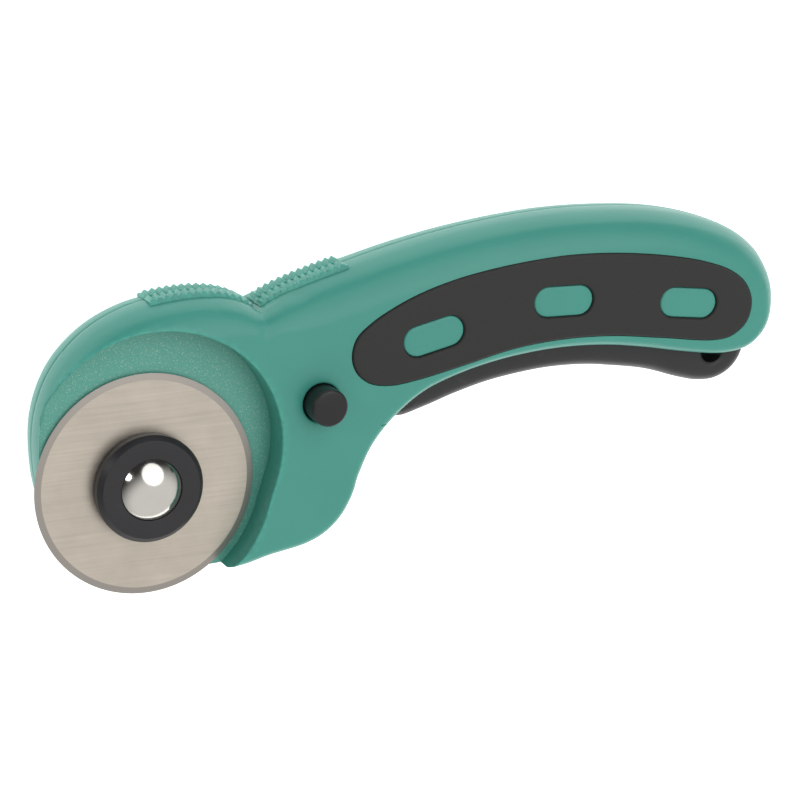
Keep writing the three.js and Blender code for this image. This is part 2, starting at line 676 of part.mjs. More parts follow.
function springSeat() {
  const well = new THREE.CylinderGeometry(SPRING_R + 1.0, SPRING_R + 1.0, 20, 32);
  return well.translate(SPRING_X, SPRING_LOW_Y - GAP + 10, PART_Z);
}

function returnSpring() {
  const points = [];
  const perTurn = 10;
  const low = SPRING_LOW_Y + SPRING_WIRE / 2;
  const high = SPRING_HIGH_Y - SPRING_WIRE / 2;
  const total = SPRING_TURNS * perTurn;
  for (let i = 0; i <= total; i += 1) {
    const a = (2 * Math.PI * i) / perTurn;
    const x = SPRING_X + SPRING_R * Math.cos(a);
    points.push(new THREE.Vector3(x, low + ((high - low) * i) / total, PART_Z + SPRING_R * Math.sin(a)));
  }
  const path = new THREE.CatmullRomCurve3(points);
  const wire = new THREE.Shape(circlePoints(0, 0, SPRING_WIRE / 2, 5).map(([x, y]) => new THREE.Vector2(x, y)));
  return new THREE.ExtrudeGeometry(wire, { steps: total, extrudePath: path, bevelEnabled: false });
}

function screw([x, y]) {
  const low = SCREW_HEAD_Z - 1.5;
  const body = turned(x, y, [
    [0, low], [SCREW_HEAD_R - 0.5, low], [SCREW_HEAD_R, low + 0.5], [SCREW_HEAD_R, SCREW_HEAD_Z - 0.1],
    [SCREW_SHANK_R, SCREW_HEAD_Z - 0.1], [SCREW_SHANK_R, SCREW_TIP_Z - 0.8], [0, SCREW_TIP_Z],
  ], 20);
  const slots = [[1.35, 0.28], [0.28, 1.35]].map(([w, h]) =>
    plate([[x - w, y - h], [x + w, y - h], [x + w, y + h], [x - w, y + h]], low - 1, low + 0.7));
  return cut(solid(body), ...slots);
}

// ---- assembly ----
const PLASTIC = { roughness: 0.45, metalness: 0 };
const RUBBER = { roughness: 0.7, metalness: 0 };
const STEEL = { roughness: 0.3, metalness: 1 };
const TEAL = 0x2f9e8f;
const DARK = 0x3c3c3e;

const pieces = {
  front_shell: [frontShell(), TEAL, PLASTIC],
  rear_shell: [rearShell(), TEAL, PLASTIC],
  front_grip_inlay: [inlaySolid(), DARK, RUBBER],
  rear_grip_inlay: [mirrored(inlaySolid()), DARK, RUBBER],
  trigger_lever: [triggerLever(), DARK, PLASTIC],
  blade_arm: [bladeArm(), 0xa8aaad, STEEL],
  arm_link_pin: [solid(pin(linkAt, LINK_PIN_R, NOSE_LOW_Z, ARM_TOP_Z)), 0xc0c2c5, STEEL],
  arm_pivot_pin: [solid(pin(ARM_PIVOT, ARM_PIN_R, 2 * PART_Z - TRIGGER_PIN_TOP + 0.1, ARM_PIN_TOP)), 0xc0c2c5, STEEL],
  trigger_pivot_pin: [solid(pin(TRIGGER_PIVOT, TRIGGER_PIN_R, 2 * PART_Z - TRIGGER_PIN_TOP, TRIGGER_PIN_TOP)), 0xc0c2c5, STEEL],
  rotary_blade: [rotaryBlade(), 0xc9c0b0, STEEL],
  blade_collar: [bladeCollar(), DARK, PLASTIC],
  blade_washer: [bladeWasher(), DARK, PLASTIC],
  blade_bolt: [solid(bladeBolt()), 0xe6e6e6, { roughness: 0.08, metalness: 1 }],
  rear_washer: [ring(bladeOut, SHANK_R + 0.2, 7, REAR_WASHER_TOP - REAR_WASHER_THICK, REAR_WASHER_TOP), 0xc0c2c5, STEEL],
  spring_washer: [springWasher(), 0xb0b2b5, STEEL],
  blade_nut: [bladeNut(), DARK, PLASTIC],
  lock_button: [solid(lockButton()), DARK, PLASTIC],
  lock_detent_ring: [detentRing(), 0xb0b2b5, STEEL],
  trigger_return_spring: [solid(returnSpring()), 0xb0b2b5, STEEL],
};
for (const [name, at] of Object.entries(SCREWS)) {
  pieces[name] = [screw(at), 0xb8babd, STEEL];
}

const group = new THREE.Group();
for (const [name, [manifold, color, look]] of Object.entries(pieces)) {
  const mesh = new THREE.Mesh(toGeometry(manifold), new THREE.MeshStandardMaterial({ color, ...look }));
  mesh.name = name;
  group.add(mesh);
}

// set the cutter down: middle of its length and width over the origin, back on z 0
const box = new THREE.Box3().setFromObject(group);
const middle = box.getCenter(new THREE.Vector3());
for (const mesh of group.children) {
  mesh.geometry.translate(-middle.x, -middle.y, -box.min.z);
  mesh.geometry.computeVertexNormals();
}

export default group;
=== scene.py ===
"""Finished surfaces, materials and stage for the rotary cutter.

Shapes are worked out in millimetres with the blade's axis at x 0, y 0 and the blade's upper face at z 0, then
set into the frame. X runs along the handle, Y towards its back, Z out of the blade side.
"""

import json
import math

import bpy
import numpy as np
from mathutils import Matrix, Vector
from mathutils.geometry import delaunay_2d_cdt


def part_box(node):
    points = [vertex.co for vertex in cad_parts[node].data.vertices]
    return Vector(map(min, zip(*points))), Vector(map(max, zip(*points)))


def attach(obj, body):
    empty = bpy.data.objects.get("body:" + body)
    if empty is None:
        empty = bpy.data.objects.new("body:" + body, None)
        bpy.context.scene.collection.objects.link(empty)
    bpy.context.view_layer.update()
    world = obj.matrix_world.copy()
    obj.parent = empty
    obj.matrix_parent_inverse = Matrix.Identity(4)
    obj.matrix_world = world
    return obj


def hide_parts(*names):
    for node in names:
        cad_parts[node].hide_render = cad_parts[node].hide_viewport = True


bl_info = {
    "name": "Rotary cutter",
    "version": (1, 0, 0),
    "blender": (4, 5, 0),
    "location": "3D View > Sidebar > Cutter",
    "description": "Builds the surfaces, materials and stage of a rotary cutter round its solid frame",
    "category": "Add Mesh",
}

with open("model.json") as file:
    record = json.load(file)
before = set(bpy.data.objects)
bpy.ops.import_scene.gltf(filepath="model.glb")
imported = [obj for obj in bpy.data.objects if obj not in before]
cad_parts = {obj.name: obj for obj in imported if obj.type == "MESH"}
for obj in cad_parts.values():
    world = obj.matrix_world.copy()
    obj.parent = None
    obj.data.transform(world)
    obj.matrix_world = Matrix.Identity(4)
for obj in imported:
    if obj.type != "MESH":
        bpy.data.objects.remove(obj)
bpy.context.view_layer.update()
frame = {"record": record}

MM = 0.001
BODY_OF = {node: body for body, nodes in frame["record"]["behaviour"]["bodies"].items() for node in nodes}
BLADE_LOW, BLADE_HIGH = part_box("rotary_blade")
ORIGIN = np.array([(BLADE_LOW.x + BLADE_HIGH.x) / 2, (BLADE_LOW.y + BLADE_HIGH.y) / 2, BLADE_HIGH.z])
STACK_LOW, STACK_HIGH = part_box("blade_washer")


def height_of(node, top):
    """Lowest or highest Z of a frame node, in millimetres from the blade's upper face."""
    low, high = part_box(node)
    return ((high if top else low).z - ORIGIN[2]) / MM


# ---- sizes that the pieces share, in millimetres ----
BLADE_R = (BLADE_HIGH.x - BLADE_LOW.x) / 2 / MM
BLADE_THICK = (BLADE_HIGH.z - BLADE_LOW.z) / MM
FACE_Z = height_of("front_shell", True)
REAR_Z = height_of("rear_shell", False)
PART_Z = (FACE_Z + REAR_Z) / 2
BLADE_IN = (2.4, 7.3)            # blade axis when drawn in
RECESS_R = BLADE_R + 1.8
RECESS_FLOOR_Z = -0.8
RIM_EASE = 0.45                  # rounding along the top of the recess wall
WALL = 2.2
SKIN = 2.8                       # thickness of the face
ROLL = 9
EDGE_ROLL = 2.5
ROLL_EXTRA = 0.5                 # how much further than its width a roll-over falls
POCKET_DEPTH = 1.2
LEVER_ROOM = 6.3                 # room for the lever on each side of the parting plane
SEAM = 0.02
STEP = 0.03                      # half width of a steep wall in plan
FINE = 0.05                      # keeps the smooth outline inside the frame's chords

ARM_PIVOT = (26.384, -4.7)
ARM_TURN = 16.5
TRIGGER_PIVOT = (45.0, 14.0)
TRIGGER_TURN = 6
LINK_AT = (15.77, -7.0)
LOCK_AT = (35.2, 13.9)
LOCK_R = 3.8
LOCK_HOLE_R = 4.0
SCREWS = {
    "head_screw": (16.6, 31.4), "neck_screw": (41.5, 30.6),
    "heel_screw": (35.4, -9.6), "tail_screw": (136.4, 27.6),
}
SCREW_BORE_R = 2.6
SCREW_HOLE_R = 1.3
SCREW_PILOT_R = 1.2
POST_R = 2.9
ARM_PIN_R = 2.0
LINK_PIN_R = 1.5
TRIGGER_PIN_R = 1.5
ARM_HOLE_R = 2.15
TRIGGER_HOLE_R = 1.65
STACK_BORE_R = 4.15              # hole in the collar and in the washer
REAR_BORE_R = 3.1                # hole in the rear washers
SINK_RADIUS = 8.75
SINK_DEPTH = 0.05
BOLT_WINDOW_R = 7.1
NUT_OPENING_R = 11.2

# x, y and roll-over width, anticlockwise from the notch between head and handle
BODY = [
    (24.2, 32.6, 5), (20.3, 35.0, 7), (15.7, 36.4, 8.5), (8, 36.7, ROLL), (-2, 35.1, ROLL),
    (-10.5, 31.0, ROLL), (-17.3, 24.0, ROLL), (-20.9, 14.8, ROLL), (-21.2, 4.0, ROLL),
    (-19.4, -3.0, 7), (-15.9, -8.6, 5),
    (-10, -12.9, 3.5), (-2, -15.8, EDGE_ROLL), (5.5, -16.9, EDGE_ROLL), (12.5, -18.7, EDGE_ROLL),
    (18.5, -18.3, EDGE_ROLL), (24, -17.1, EDGE_ROLL), (32.6, -15.6, EDGE_ROLL), (37, -13.5, EDGE_ROLL),
    (40.6, -9.9, EDGE_ROLL), (43.4, -3.8, EDGE_ROLL), (46.8, 3.0, EDGE_ROLL), (51.4, 8.2, EDGE_ROLL),
    (57.9, 12.8, EDGE_ROLL), (66, 15.7, EDGE_ROLL), (76, 17.7, EDGE_ROLL), (87.8, 18.6, EDGE_ROLL),
    (99, 18.1, EDGE_ROLL), (109, 16.5, EDGE_ROLL), (119, 14.4, EDGE_ROLL), (128.1, 13.1, EDGE_ROLL),
    (134.0, 13.9, EDGE_ROLL), (137.6, 16.1, 3.2), (139.8, 19.0, 4), (141.1, 23.4, 5.5), (141.1, 27.8, 7),
    (138.8, 33.6, ROLL), (133.6, 38.1, ROLL), (125.5, 41.8, ROLL), (114.5, 44.6, ROLL),
    (101, 46.0, ROLL),
    (88, 46.2, ROLL), (72, 44.9, ROLL), (58, 42.7, ROLL), (44, 39.5, ROLL), (33.7, 36.7, 8.5),
    (28.2, 34.7, 7), (24.2, 32.6, 5),
]
HEEL = 20                        # where the head's own outline leaves the body's
CHIN = 14                        # where the handle's own outline joins the body's
HEAD_CLOSE = [(42.5, 5.0, 4), (39.0, 14.0, 5), (34.0, 22.5, 5), (29.0, 28.6, 5)]
HANDLE_CLOSE = [(19.4, 29.9, 5), (13.5, 26.0, 5), (7.0, 19.0, 5), (3.5, 8.0, 5), (4.0, -6.0, 5)]
INLAY = [
    (41.6, 22.3), (42.6, 26.2), (45.8, 29.0), (50.5, 31.6), (56.5, 34.0), (64, 36.0), (72.5, 37.4),
    (82, 38.3), (91, 38.6), (102.2, 37.9), (113.6, 36.2), (122.3, 34.1), (128.4, 31.6), (132.0, 28.6),
    (133.6, 24.4),
    (132.6, 20.2), (129.2, 17.5), (125.0, 16.9), (111.3, 18.9), (100, 20.5), (89, 21.0), (78, 20.3),
    (66, 18.0), (56, 16.2), (50, 15.7), (45.6, 16.6), (42.7, 19.0),
]
ISLANDS = [(59.5, 24.9, 11.6), (88.7, 29.1, -2.4), (118.1, 25.7, -8)]
ISLAND_LENGTH = 13.4
ISLAND_WIDTH = 6.3
LEVER = [
    (50.6, 9.0), (54.0, 7.0), (59.8, 8.1), (67, 10.2), (74.3, 11.9), (82, 12.9), (89, 13.3), (96.7, 13.0),
    (104.3, 11.9), (112.1, 10.3), (120, 7.6), (124.6, 6.4), (128.8, 6.3), (132.6, 7.9), (135.3, 11.2),
    (136.1, 15.6), (134.6, 20), (131, 23.3), (126, 24.4), (110, 24.0), (98, 25.2), (86, 25.0), (74, 23.0),
    (62, 19.8), (52, 17.5), (49, 13.5),
]
LEVER_ROLL = 3.2
LEVER_HALF = 6.0
HANG_HOLE = (127.1, 13.2)
HANG_HOLE_R = 2.7
HUB_END = (55, 13)               # where the lever's hub runs out into its bar
NOSE_BEND = (22, 6)


# ---- curves in plan ----
def spline(points, step, closed):
    """Centripetal Catmull-Rom curve: each span is a cubic whose end slopes weigh the neighbouring spans by
    the square roots of their lengths. Returned as places one step apart along it."""
    p = np.asarray(points, float)
    if closed:
        p = np.vstack([p[-1:], p, p[:2]])
    else:
        p = np.vstack([2 * p[:1] - p[1:2], p, 2 * p[-1:] - p[-2:-1]])
    pace = np.sqrt(np.linalg.norm(np.diff(p, axis=0), axis=1))[:, None]
    p0, p1, p2, p3 = p[:-3], p[1:-2], p[2:-1], p[3:]
    d0, d1, d2 = pace[:-2], pace[1:-1], pace[2:]
    start = ((p1 - p0) / d0 - (p2 - p0) / (d0 + d1) + (p2 - p1) / d1) * d1
    end = ((p2 - p1) / d1 - (p3 - p1) / (d1 + d2) + (p3 - p2) / d2) * d1
    u = np.linspace(0, 1, 24, endpoint=False)[None, :, None]
    cube = (2 * p1 - 2 * p2 + start + end)[:, None]
    square = (3 * p2 - 3 * p1 - 2 * start - end)[:, None]
    dense = (p1[:, None] + start[:, None] * u + square * u**2 + cube * u**3).reshape(-1, p.shape[1])
    dense = np.vstack([dense, p2[-1:]])
    along = np.r_[0, np.cumsum(np.linalg.norm(np.diff(dense[:, :2], axis=0), axis=1))]
    places = np.linspace(0, along[-1], int(round(along[-1] / step)), endpoint=False)
    return np.stack([np.interp(places, along, column) for column in dense.T], axis=1)


def circle(at, radius, step=1.0):
    """Points round a circle, about one step apart and never fewer than 24."""
    count = max(24, int(2 * math.pi * radius / step))
    a = np.linspace(0, 2 * math.pi, count, endpoint=False)
    return np.stack([at[0] + radius * np.cos(a), at[1] + radius * np.sin(a)], axis=1)


def capsule(a, b, radius, step=1.0):
    """Outline of two equal discs joined by their outer tangents."""
    a, b = np.array(a, float), np.array(b, float)
    heading = math.atan2(*(b - a)[::-1])
    count = max(10, int(math.pi * radius / step))
    turn = np.linspace(-math.pi / 2, math.pi / 2, count)
    ends = []
    for centre, facing in ((b, heading), (a, heading + math.pi)):
        ends.append(centre + radius * np.stack([np.cos(turn + facing), np.sin(turn + facing)], axis=1))
    return np.vstack(ends)


def taper(a, ra, b, rb, count=14):
    """Outline of two unequal discs joined by their outer tangents, which touch at the angle whose cosine is
    the difference of the radii over the distance."""
    a, b = np.array(a, float), np.array(b, float)
    heading = math.atan2(*(b - a)[::-1])
    lean = math.acos((ra - rb) / np.linalg.norm(b - a))
    near = np.linspace(-lean, lean, count) + heading
    far = np.linspace(lean, 2 * math.pi - lean, count) + heading
    return np.vstack([
        b + rb * np.stack([np.cos(near), np.sin(near)], axis=1),
        a + ra * np.stack([np.cos(far), np.sin(far)], axis=1),
    ])


def turned_about(points, centre, degrees):
    """Points turned about a centre in plan."""
    c, s = math.cos(math.radians(degrees)), math.sin(math.radians(degrees))
    return (np.asarray(points, float) - centre) @ np.array([[c, s], [-s, c]]) + centre


def inset(loop, distance):
    """The loop moved inward along the mean of its two edge normals, stretched at corners so that it keeps its
    distance."""
    xy = loop[:, :2]
    before = xy - np.roll(xy, 1, axis=0)
    after = np.roll(xy, -1, axis=0) - xy
    normals = []
    for edge in (before, after):
        edge = edge / np.linalg.norm(edge, axis=1, keepdims=True)
        normals.append(np.stack([-edge[:, 1], edge[:, 0]], axis=1))
    middle = normals[0] + normals[1]
    middle /= np.linalg.norm(middle, axis=1, keepdims=True)
    stretch = 1 / np.maximum(0.6, (middle * normals[0]).sum(axis=1, keepdims=True))
    return xy + middle * stretch * np.reshape(distance, (-1, 1))


def depth_in(points, loop):
    """Signed distance from each point to a closed loop, positive inside, and the place along the loop that
    is nearest to it."""
    a = loop[:, :2]
    edge = np.roll(a, -1, axis=0) - a
    span = (edge**2).sum(axis=1)
    depths, places = [], []
    for part in np.array_split(points, max(1, len(points) // 3000)):
        away = part[:, None, :] - a[None]
        share = np.clip((away * edge).sum(axis=2) / span, 0, 1)
        gap = ((away - share[..., None] * edge) ** 2).sum(axis=2)
        nearest = gap.argmin(axis=1)
        rows = np.arange(len(part))
        crosses = (a[:, 1] > part[:, 1:2]) != (np.roll(a[:, 1], -1) > part[:, 1:2])
        rise = np.where(np.abs(edge[:, 1]) < 1e-12, 1e-12, edge[:, 1])
        left = part[:, 0:1] < a[:, 0] + (part[:, 1:2] - a[:, 1]) * edge[:, 0] / rise
        inside = (crosses & left).sum(axis=1) % 2 == 1
        depths.append(np.sqrt(gap[rows, nearest]) * np.where(inside, 1, -1))
        places.append(nearest + share[rows, nearest])
    return np.concatenate(depths), np.concatenate(places)


def from_disc(points, at, radius):
    """Signed distance outside a circle."""
    return np.linalg.norm(points - np.array(at), axis=1) - radius


def from_capsule(points, a, b, radius):
    """Signed distance outside a capsule."""
    a, b = np.array(a, float), np.array(b, float)
    share = np.clip(((points - a) @ (b - a)) / ((b - a) @ (b - a)), 0, 1)
    return np.linalg.norm(points - a - share[:, None] * (b - a), axis=1) - radius


def eased(distance, radius):
    """Drop of a quarter-round edge: none past the radius, all of it at the edge."""
    t = np.clip(1 - distance / radius, 0, 1)
    return radius * (1 - np.sqrt(1 - t * t))


def island_ends(island):
    """Ends of an island's centre line."""
    x, y, degrees = island
    half = (ISLAND_LENGTH - ISLAND_WIDTH) / 2
    along = half * np.array([math.cos(math.radians(degrees)), math.sin(math.radians(degrees))])
    return np.array([x, y]) - along, np.array([x, y]) + along


# ---- meshes ----
def plan_solid(loops, scatter, keep, top, bottom):
    """Closed solid between two heights over one plan. The plan is the constrained Delaunay triangulation of
    the loops and the scattered points, less the triangles whose middle keep() refuses; every plan point is
    used at its top and its bottom height, and the plan's border becomes the walls."""
    points = np.vstack([*loops, scatter])
    edges, first = [], 0
    for loop in loops:
        places = np.arange(len(loop))
        edges.append(np.stack([places, np.roll(places, -1)], axis=1) + first)
        first += len(loop)
    corners = [Vector(point) for point in points]
    plan, _, faces, *_ = delaunay_2d_cdt(corners, np.vstack(edges).tolist(), [], 0, 1e-5, False)
    plan, faces = np.array([tuple(p) for p in plan]), np.array(faces)
    faces = faces[keep(plan[faces].mean(axis=1))]
    side = np.cross(plan[faces[:, 1]] - plan[faces[:, 0]], plan[faces[:, 2]] - plan[faces[:, 0]])
    faces[side < 0] = faces[side < 0][:, ::-1]
    faces = faces[np.abs(side) > 1e-9]
    used, faces = np.unique(faces, return_inverse=True)
    plan, faces = plan[used], faces.reshape(-1, 3)
    count = len(plan)
    directed = np.vstack([faces[:, [0, 1]], faces[:, [1, 2]], faces[:, [2, 0]]])
    forward = directed[:, 0] * count + directed[:, 1]
    backward = directed[:, 1] * count + directed[:, 0]
    border = directed[~np.isin(forward, backward)]
    walls = np.stack([border[:, 1], border[:, 0], border[:, 0] + count, border[:, 1] + count], axis=1)
    verts = np.vstack([np.column_stack([plan, top(plan)]), np.column_stack([plan, bottom(plan)])])
    return verts, faces.tolist() + (faces[:, ::-1] + count).tolist() + walls.tolist()


def hex_grid(loop, spacing):
    """Points of a triangular grid over the loop's box."""
    low, high = loop[:, :2].min(axis=0), loop[:, :2].max(axis=0)
    rows = np.arange(low[1], high[1], spacing * math.sqrt(3) / 2)
    columns = np.arange(low[0], high[0], spacing)
    x, y = np.meshgrid(columns, rows)
    x = x + (np.arange(len(rows)) % 2)[:, None] * spacing / 2
    return np.stack([x.ravel(), y.ravel()], axis=1)


def clear_of(points, loops, distance):
    """The points that stand at least the distance from every loop's line."""
    for loop in loops:
        points = points[np.abs(depth_in(points, loop)[0]) > distance]
    return points


def softened(profile, radius, closed):
    """A profile with each corner replaced by a curve that starts and ends one radius from it."""
    p = np.asarray(profile, float)
    before = np.roll(p, 1, axis=0) - p
    after = np.roll(p, -1, axis=0) - p
    reach = []
    for leg in (before, after):
        length = np.linalg.norm(leg, axis=1, keepdims=True)
        reach.append(leg / np.maximum(length, 1e-9) * np.minimum(radius, length * 0.45))
    u = np.linspace(0, 1, 5)[None, :, None]
    start, end = (p + reach[0])[:, None], (p + reach[1])[:, None]
    curve = start * (1 - u) ** 2 + 2 * p[:, None] * u * (1 - u) + end * u**2
    if closed:
        return curve.reshape(-1, 2)
    return np.vstack([p[:1], curve[1:-1].reshape(-1, 2), p[-1:]])


def lathe(profile, at=(0.0, 0.0), count=96, closed=False, scale=None):
    """Body of revolution: each profile point (radius, height) is carried round a vertical axis. A closed
    profile gives a ring; an open one runs from the axis below to the axis above. scale(angle, radius) may
    change the radius as it goes round."""
    profile = np.asarray(profile, float)
    a = np.linspace(0, 2 * math.pi, count, endpoint=False)[:, None]
    body = profile if closed else profile[1:-1]
    r, z = body[None, :, 0], body[None, :, 1]
    r = np.repeat(r, count, axis=0) if scale is None else scale(a, r)
    verts = np.stack([at[0] + r * np.cos(a), at[1] + r * np.sin(a), np.broadcast_to(z, r.shape)], axis=2)
    rows = verts.shape[1]
    i, k = np.meshgrid(np.arange(count), np.arange(rows if closed else rows - 1), indexing="ij")
    j, above = (i + 1) % count, (k + 1) % rows
    quads = np.stack([i * rows + k, j * rows + k, j * rows + above, i * rows + above], axis=2).reshape(-1, 4)
    verts, faces = verts.reshape(-1, 3), quads.tolist()
    if not closed:
        total = len(verts)
        verts = np.vstack([verts, [[*at, profile[0, 1]], [*at, profile[-1, 1]]]])
        ring = np.arange(count)
        after = (ring + 1) % count
        low = np.stack([np.full(count, total), after * rows, ring * rows], axis=1)
        high = np.stack([np.full(count, total + 1), ring * rows + rows - 1, after * rows + rows - 1], axis=1)
        faces += low.tolist() + high.tolist()
    return verts, faces


def sweep(sections):
    """Skin over a row of like sections, each a loop of points, closed at its two ends."""
    rows, around = sections.shape[:2]
    i, k = np.meshgrid(np.arange(rows - 1), np.arange(around), indexing="ij")
    j, after = i + 1, (k + 1) % around
    quads = np.stack([i * around + k, i * around + after, j * around + after, j * around + k], axis=2)
    faces = quads.reshape(-1, 4).tolist()
    faces += [list(range(around))[::-1], list(range((rows - 1) * around, rows * around))]
    return sections.reshape(-1, 3), faces


def upside_down(solid):
    """The solid mirrored in the parting plane, with its faces turned to stay outward."""
    verts, faces = solid
    return verts * [1, 1, -1] + [0, 0, 2 * PART_Z], [face[::-1] for face in faces]


def add_piece(name, solid, node, finish, crease=35, pale_share=None):
    """Puts a solid into the scene as one piece that stands for a frame node and rides on its body. Edges
    steeper than the crease angle stay sharp."""
    verts, faces = solid
    mesh = bpy.data.meshes.new(name)
    mesh.from_pydata((verts * MM + ORIGIN).tolist(), [], faces)
    if mesh.validate():
        raise RuntimeError(f"{name} had faces that are not sound")
    mesh.shade_smooth()
    mesh.set_sharp_from_angle(angle=math.radians(crease))
    edge = mesh.attributes.new("pale_share", "FLOAT", "POINT")
    edge.data.foreach_set("value", np.zeros(len(verts)) if pale_share is None else pale_share(verts))
    mesh.materials.append(finish_of(finish))
    piece = bpy.data.objects.new(name, mesh)
    bpy.context.scene.collection.objects.link(piece)
    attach(piece, BODY_OF[node])
    if not name.startswith("thumb_ribs"):
        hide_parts(node)
    return piece


# ---- shader maths ----
class Term:
    """A shader number that can stand in a Python sum; each operator adds its Math node."""

    def __init__(self, look, socket):
        self.look = look
        self.socket = socket

    def __add__(self, other):
        return self.look.math("ADD", self, other)

    def __sub__(self, other):
        return self.look.math("SUBTRACT", self, other)

    def __rsub__(self, other):
        return self.look.math("SUBTRACT", other, self)

    def __mul__(self, other):
        return self.look.math("MULTIPLY", self, other)

    def __lt__(self, other):
        return self.look.math("LESS_THAN", self, other)

    def __gt__(self, other):
        return self.look.math("GREATER_THAN", self, other)

    __radd__ = __add__
    __rmul__ = __mul__


class Look:
    """One procedural material, grown node by node round a Principled shader."""

    def __init__(self, name, constants):
        self.material = bpy.data.materials.new(name)
        self.material.use_nodes = True
        self.tree = self.material.node_tree
        self.tree.nodes.clear()
        self.shader = self.node("ShaderNodeBsdfPrincipled", {}, constants)
        output = self.tree.nodes.new("ShaderNodeOutputMaterial")
        self.tree.links.new(self.shader.outputs[0], output.inputs[0])
        self.place = Term(self, self.node("ShaderNodeTexCoord", {}, {}).outputs["Object"])

    def node(self, kind, settings, sockets):
        """Adds a node: its settings first, then values or links for its sockets."""
        made = self.tree.nodes.new(kind)
        for key, value in settings.items():
            setattr(made, key, value)
        for key, value in sockets.items():
            if isinstance(value, Term):
                self.tree.links.new(value.socket, made.inputs[key])
            else:
                made.inputs[key].default_value = value
        return made

    def math(self, operation, *terms):
        """The result of one Math node."""
        made = self.node("ShaderNodeMath", {"operation": operation}, dict(enumerate(terms)))
        return Term(self, made.outputs[0])

    def smooth(self, value, low, high):
        """0 below low, 1 above high, eased between."""
        settings = {"interpolation_type": "SMOOTHSTEP"}
        made = self.node("ShaderNodeMapRange", settings, {0: value, 1: low, 2: high})
        return Term(self, made.outputs[0])

    def placed(self, location=(0, 0, 0), scale=(1, 1, 1), turn=0.0):
        """Object coordinates measured from a location, turned about Z, then stretched."""
        moved = self.node("ShaderNodeVectorMath", {"operation": "SUBTRACT"}, {0: self.place, 1: location})
        sockets = {0: Term(self, moved.outputs[0]), "Rotation": (0, 0, turn), "Scale": scale}
        return Term(self, self.node("ShaderNodeMapping", {}, sockets).outputs[0])

    def noise(self, vector, scale, detail=2.0, roughness=0.5):
        """Cloudy noise, 0 to 1."""
        sockets = {"Vector": vector, "Scale": scale, "Detail": detail, "Roughness": roughness}
        return Term(self, self.node("ShaderNodeTexNoise", {}, sockets).outputs[0])

    def cells(self, vector, scale):
        """Distance to the middle of the nearest cell."""
        made = self.node("ShaderNodeTexVoronoi", {}, {"Vector": vector, "Scale": scale})
        return Term(self, made.outputs["Distance"])

    def pale_share(self):
        """The piece's own attribute of how far its colour is painted paler."""
        return Term(self, self.node("ShaderNodeAttribute", {"attribute_name": "pale_share"}, {}).outputs["Fac"])

    def split(self, vector):
        """The three parts of a vector."""
        parts = self.node("ShaderNodeSeparateXYZ", {}, {0: vector}).outputs
        return [Term(self, part) for part in parts]

    def length(self, vector):
        """Length of a vector."""
        made = self.node("ShaderNodeVectorMath", {"operation": "LENGTH"}, {0: vector})
        return Term(self, made.outputs["Value"])

    def mix(self, factor, a, b):
        """Colour between a and b."""
        made = self.node("ShaderNodeMix", {"data_type": "RGBA"}, {0: factor, 6: a, 7: b})
        return Term(self, made.outputs[2])

    def paint(self, colour, roughness=None, normal=None):
        """Links what varies to the shader."""
        for key, value in {"Base Color": colour, "Roughness": roughness, "Normal": normal}.items():
            if value is not None:
                self.tree.links.new(value.socket, self.shader.inputs[key])

    def bump(self, height, distance, strength):
        """Normal tilted by the slope of a height."""
        sockets = {"Height": height, "Distance": distance, "Strength": strength}
        return Term(self, self.node("ShaderNodeBump", {}, sockets).outputs[0])


def shade(colour, factor):
    """A colour made lighter or darker."""
    return tuple(min(1.0, channel * factor) for channel in colour[:3]) + (1.0,)


def blade_axis(drawn=0.0):
    """The blade's axis in the frame, at the height of its upper face; drawn is 0 with the blade out and 1
    with it drawn in."""
    x, y = (np.array(BLADE_IN) * drawn).tolist()
    return Vector(ORIGIN) + Vector((x, y, 0)) * MM


def teal_plastic(colour):
    """Satin moulded plastic: fine spark grain everywhere; paler where the piece's attribute asks; on the
    recess floor a paler tone that is painted light, with coarser speckle whose paler colour is a painted
    glint."""
    look = Look("teal_plastic", {"IOR": 1.46, "Specular IOR Level": 0.5})
    grain = look.noise(look.place, 2600, 3, 0.6)
    cloud = look.noise(look.place, 55, 3)
    _, _, z = look.split(look.placed(blade_axis()))
    away = [look.length(look.placed(blade_axis(drawn), (1, 1, 0))) for drawn in (0, 0.5, 1)]
    nearest = look.math("MINIMUM", look.math("MINIMUM", away[0], away[1]), away[2])
    floor_z, either_way = (RECESS_FLOOR_Z - 0.1) * MM, 0.3 * MM
    recess = (nearest < (RECESS_R - 0.05) * MM) * (z < floor_z + either_way) * (z > floor_z - either_way)
    # Coarse speckle on the recess floor: its roughness and bump are the surface's own, while its paler colour
    # is a painted glint, a painted highlight.
    speckle_and_painted_glint = look.smooth(look.noise(look.place, 4200, 2, 0.7), 0.56, 0.72) * recess
    body = look.mix(cloud, shade(colour, 0.93), shade(colour, 1.06))
    # Painted light: the recess floor is painted paler than the shell, standing in for light that the render
    # gives it less of.
    recess_painted_light_tone = (colour[0] + 0.035, colour[1] * 1.12, colour[2] * 1.12, 1)
    # Colour of the painted glints.
    painted_glint_tone = (0.62, 0.78, 0.6, 1)
    body = look.mix(recess, body, recess_painted_light_tone)
    patchy = look.smooth(look.noise(look.place, 900, 2), 0.2, 0.7)
    # Paler where the piece's attribute asks: a band along the recess rim on the front shell, and painted
    # light over the thumb ribs.
    paled = look.mix(look.pale_share() * patchy, body, shade(colour, 1.6))
    look.paint(
        colour=look.mix(speckle_and_painted_glint * 0.5, paled, painted_glint_tone),
        roughness=0.26 + 0.1 * grain + 0.05 * cloud - 0.08 * speckle_and_painted_glint,
        normal=look.bump(grain + 2.2 * speckle_and_painted_glint, 0.00003, 0.45),
    )
    return look.material


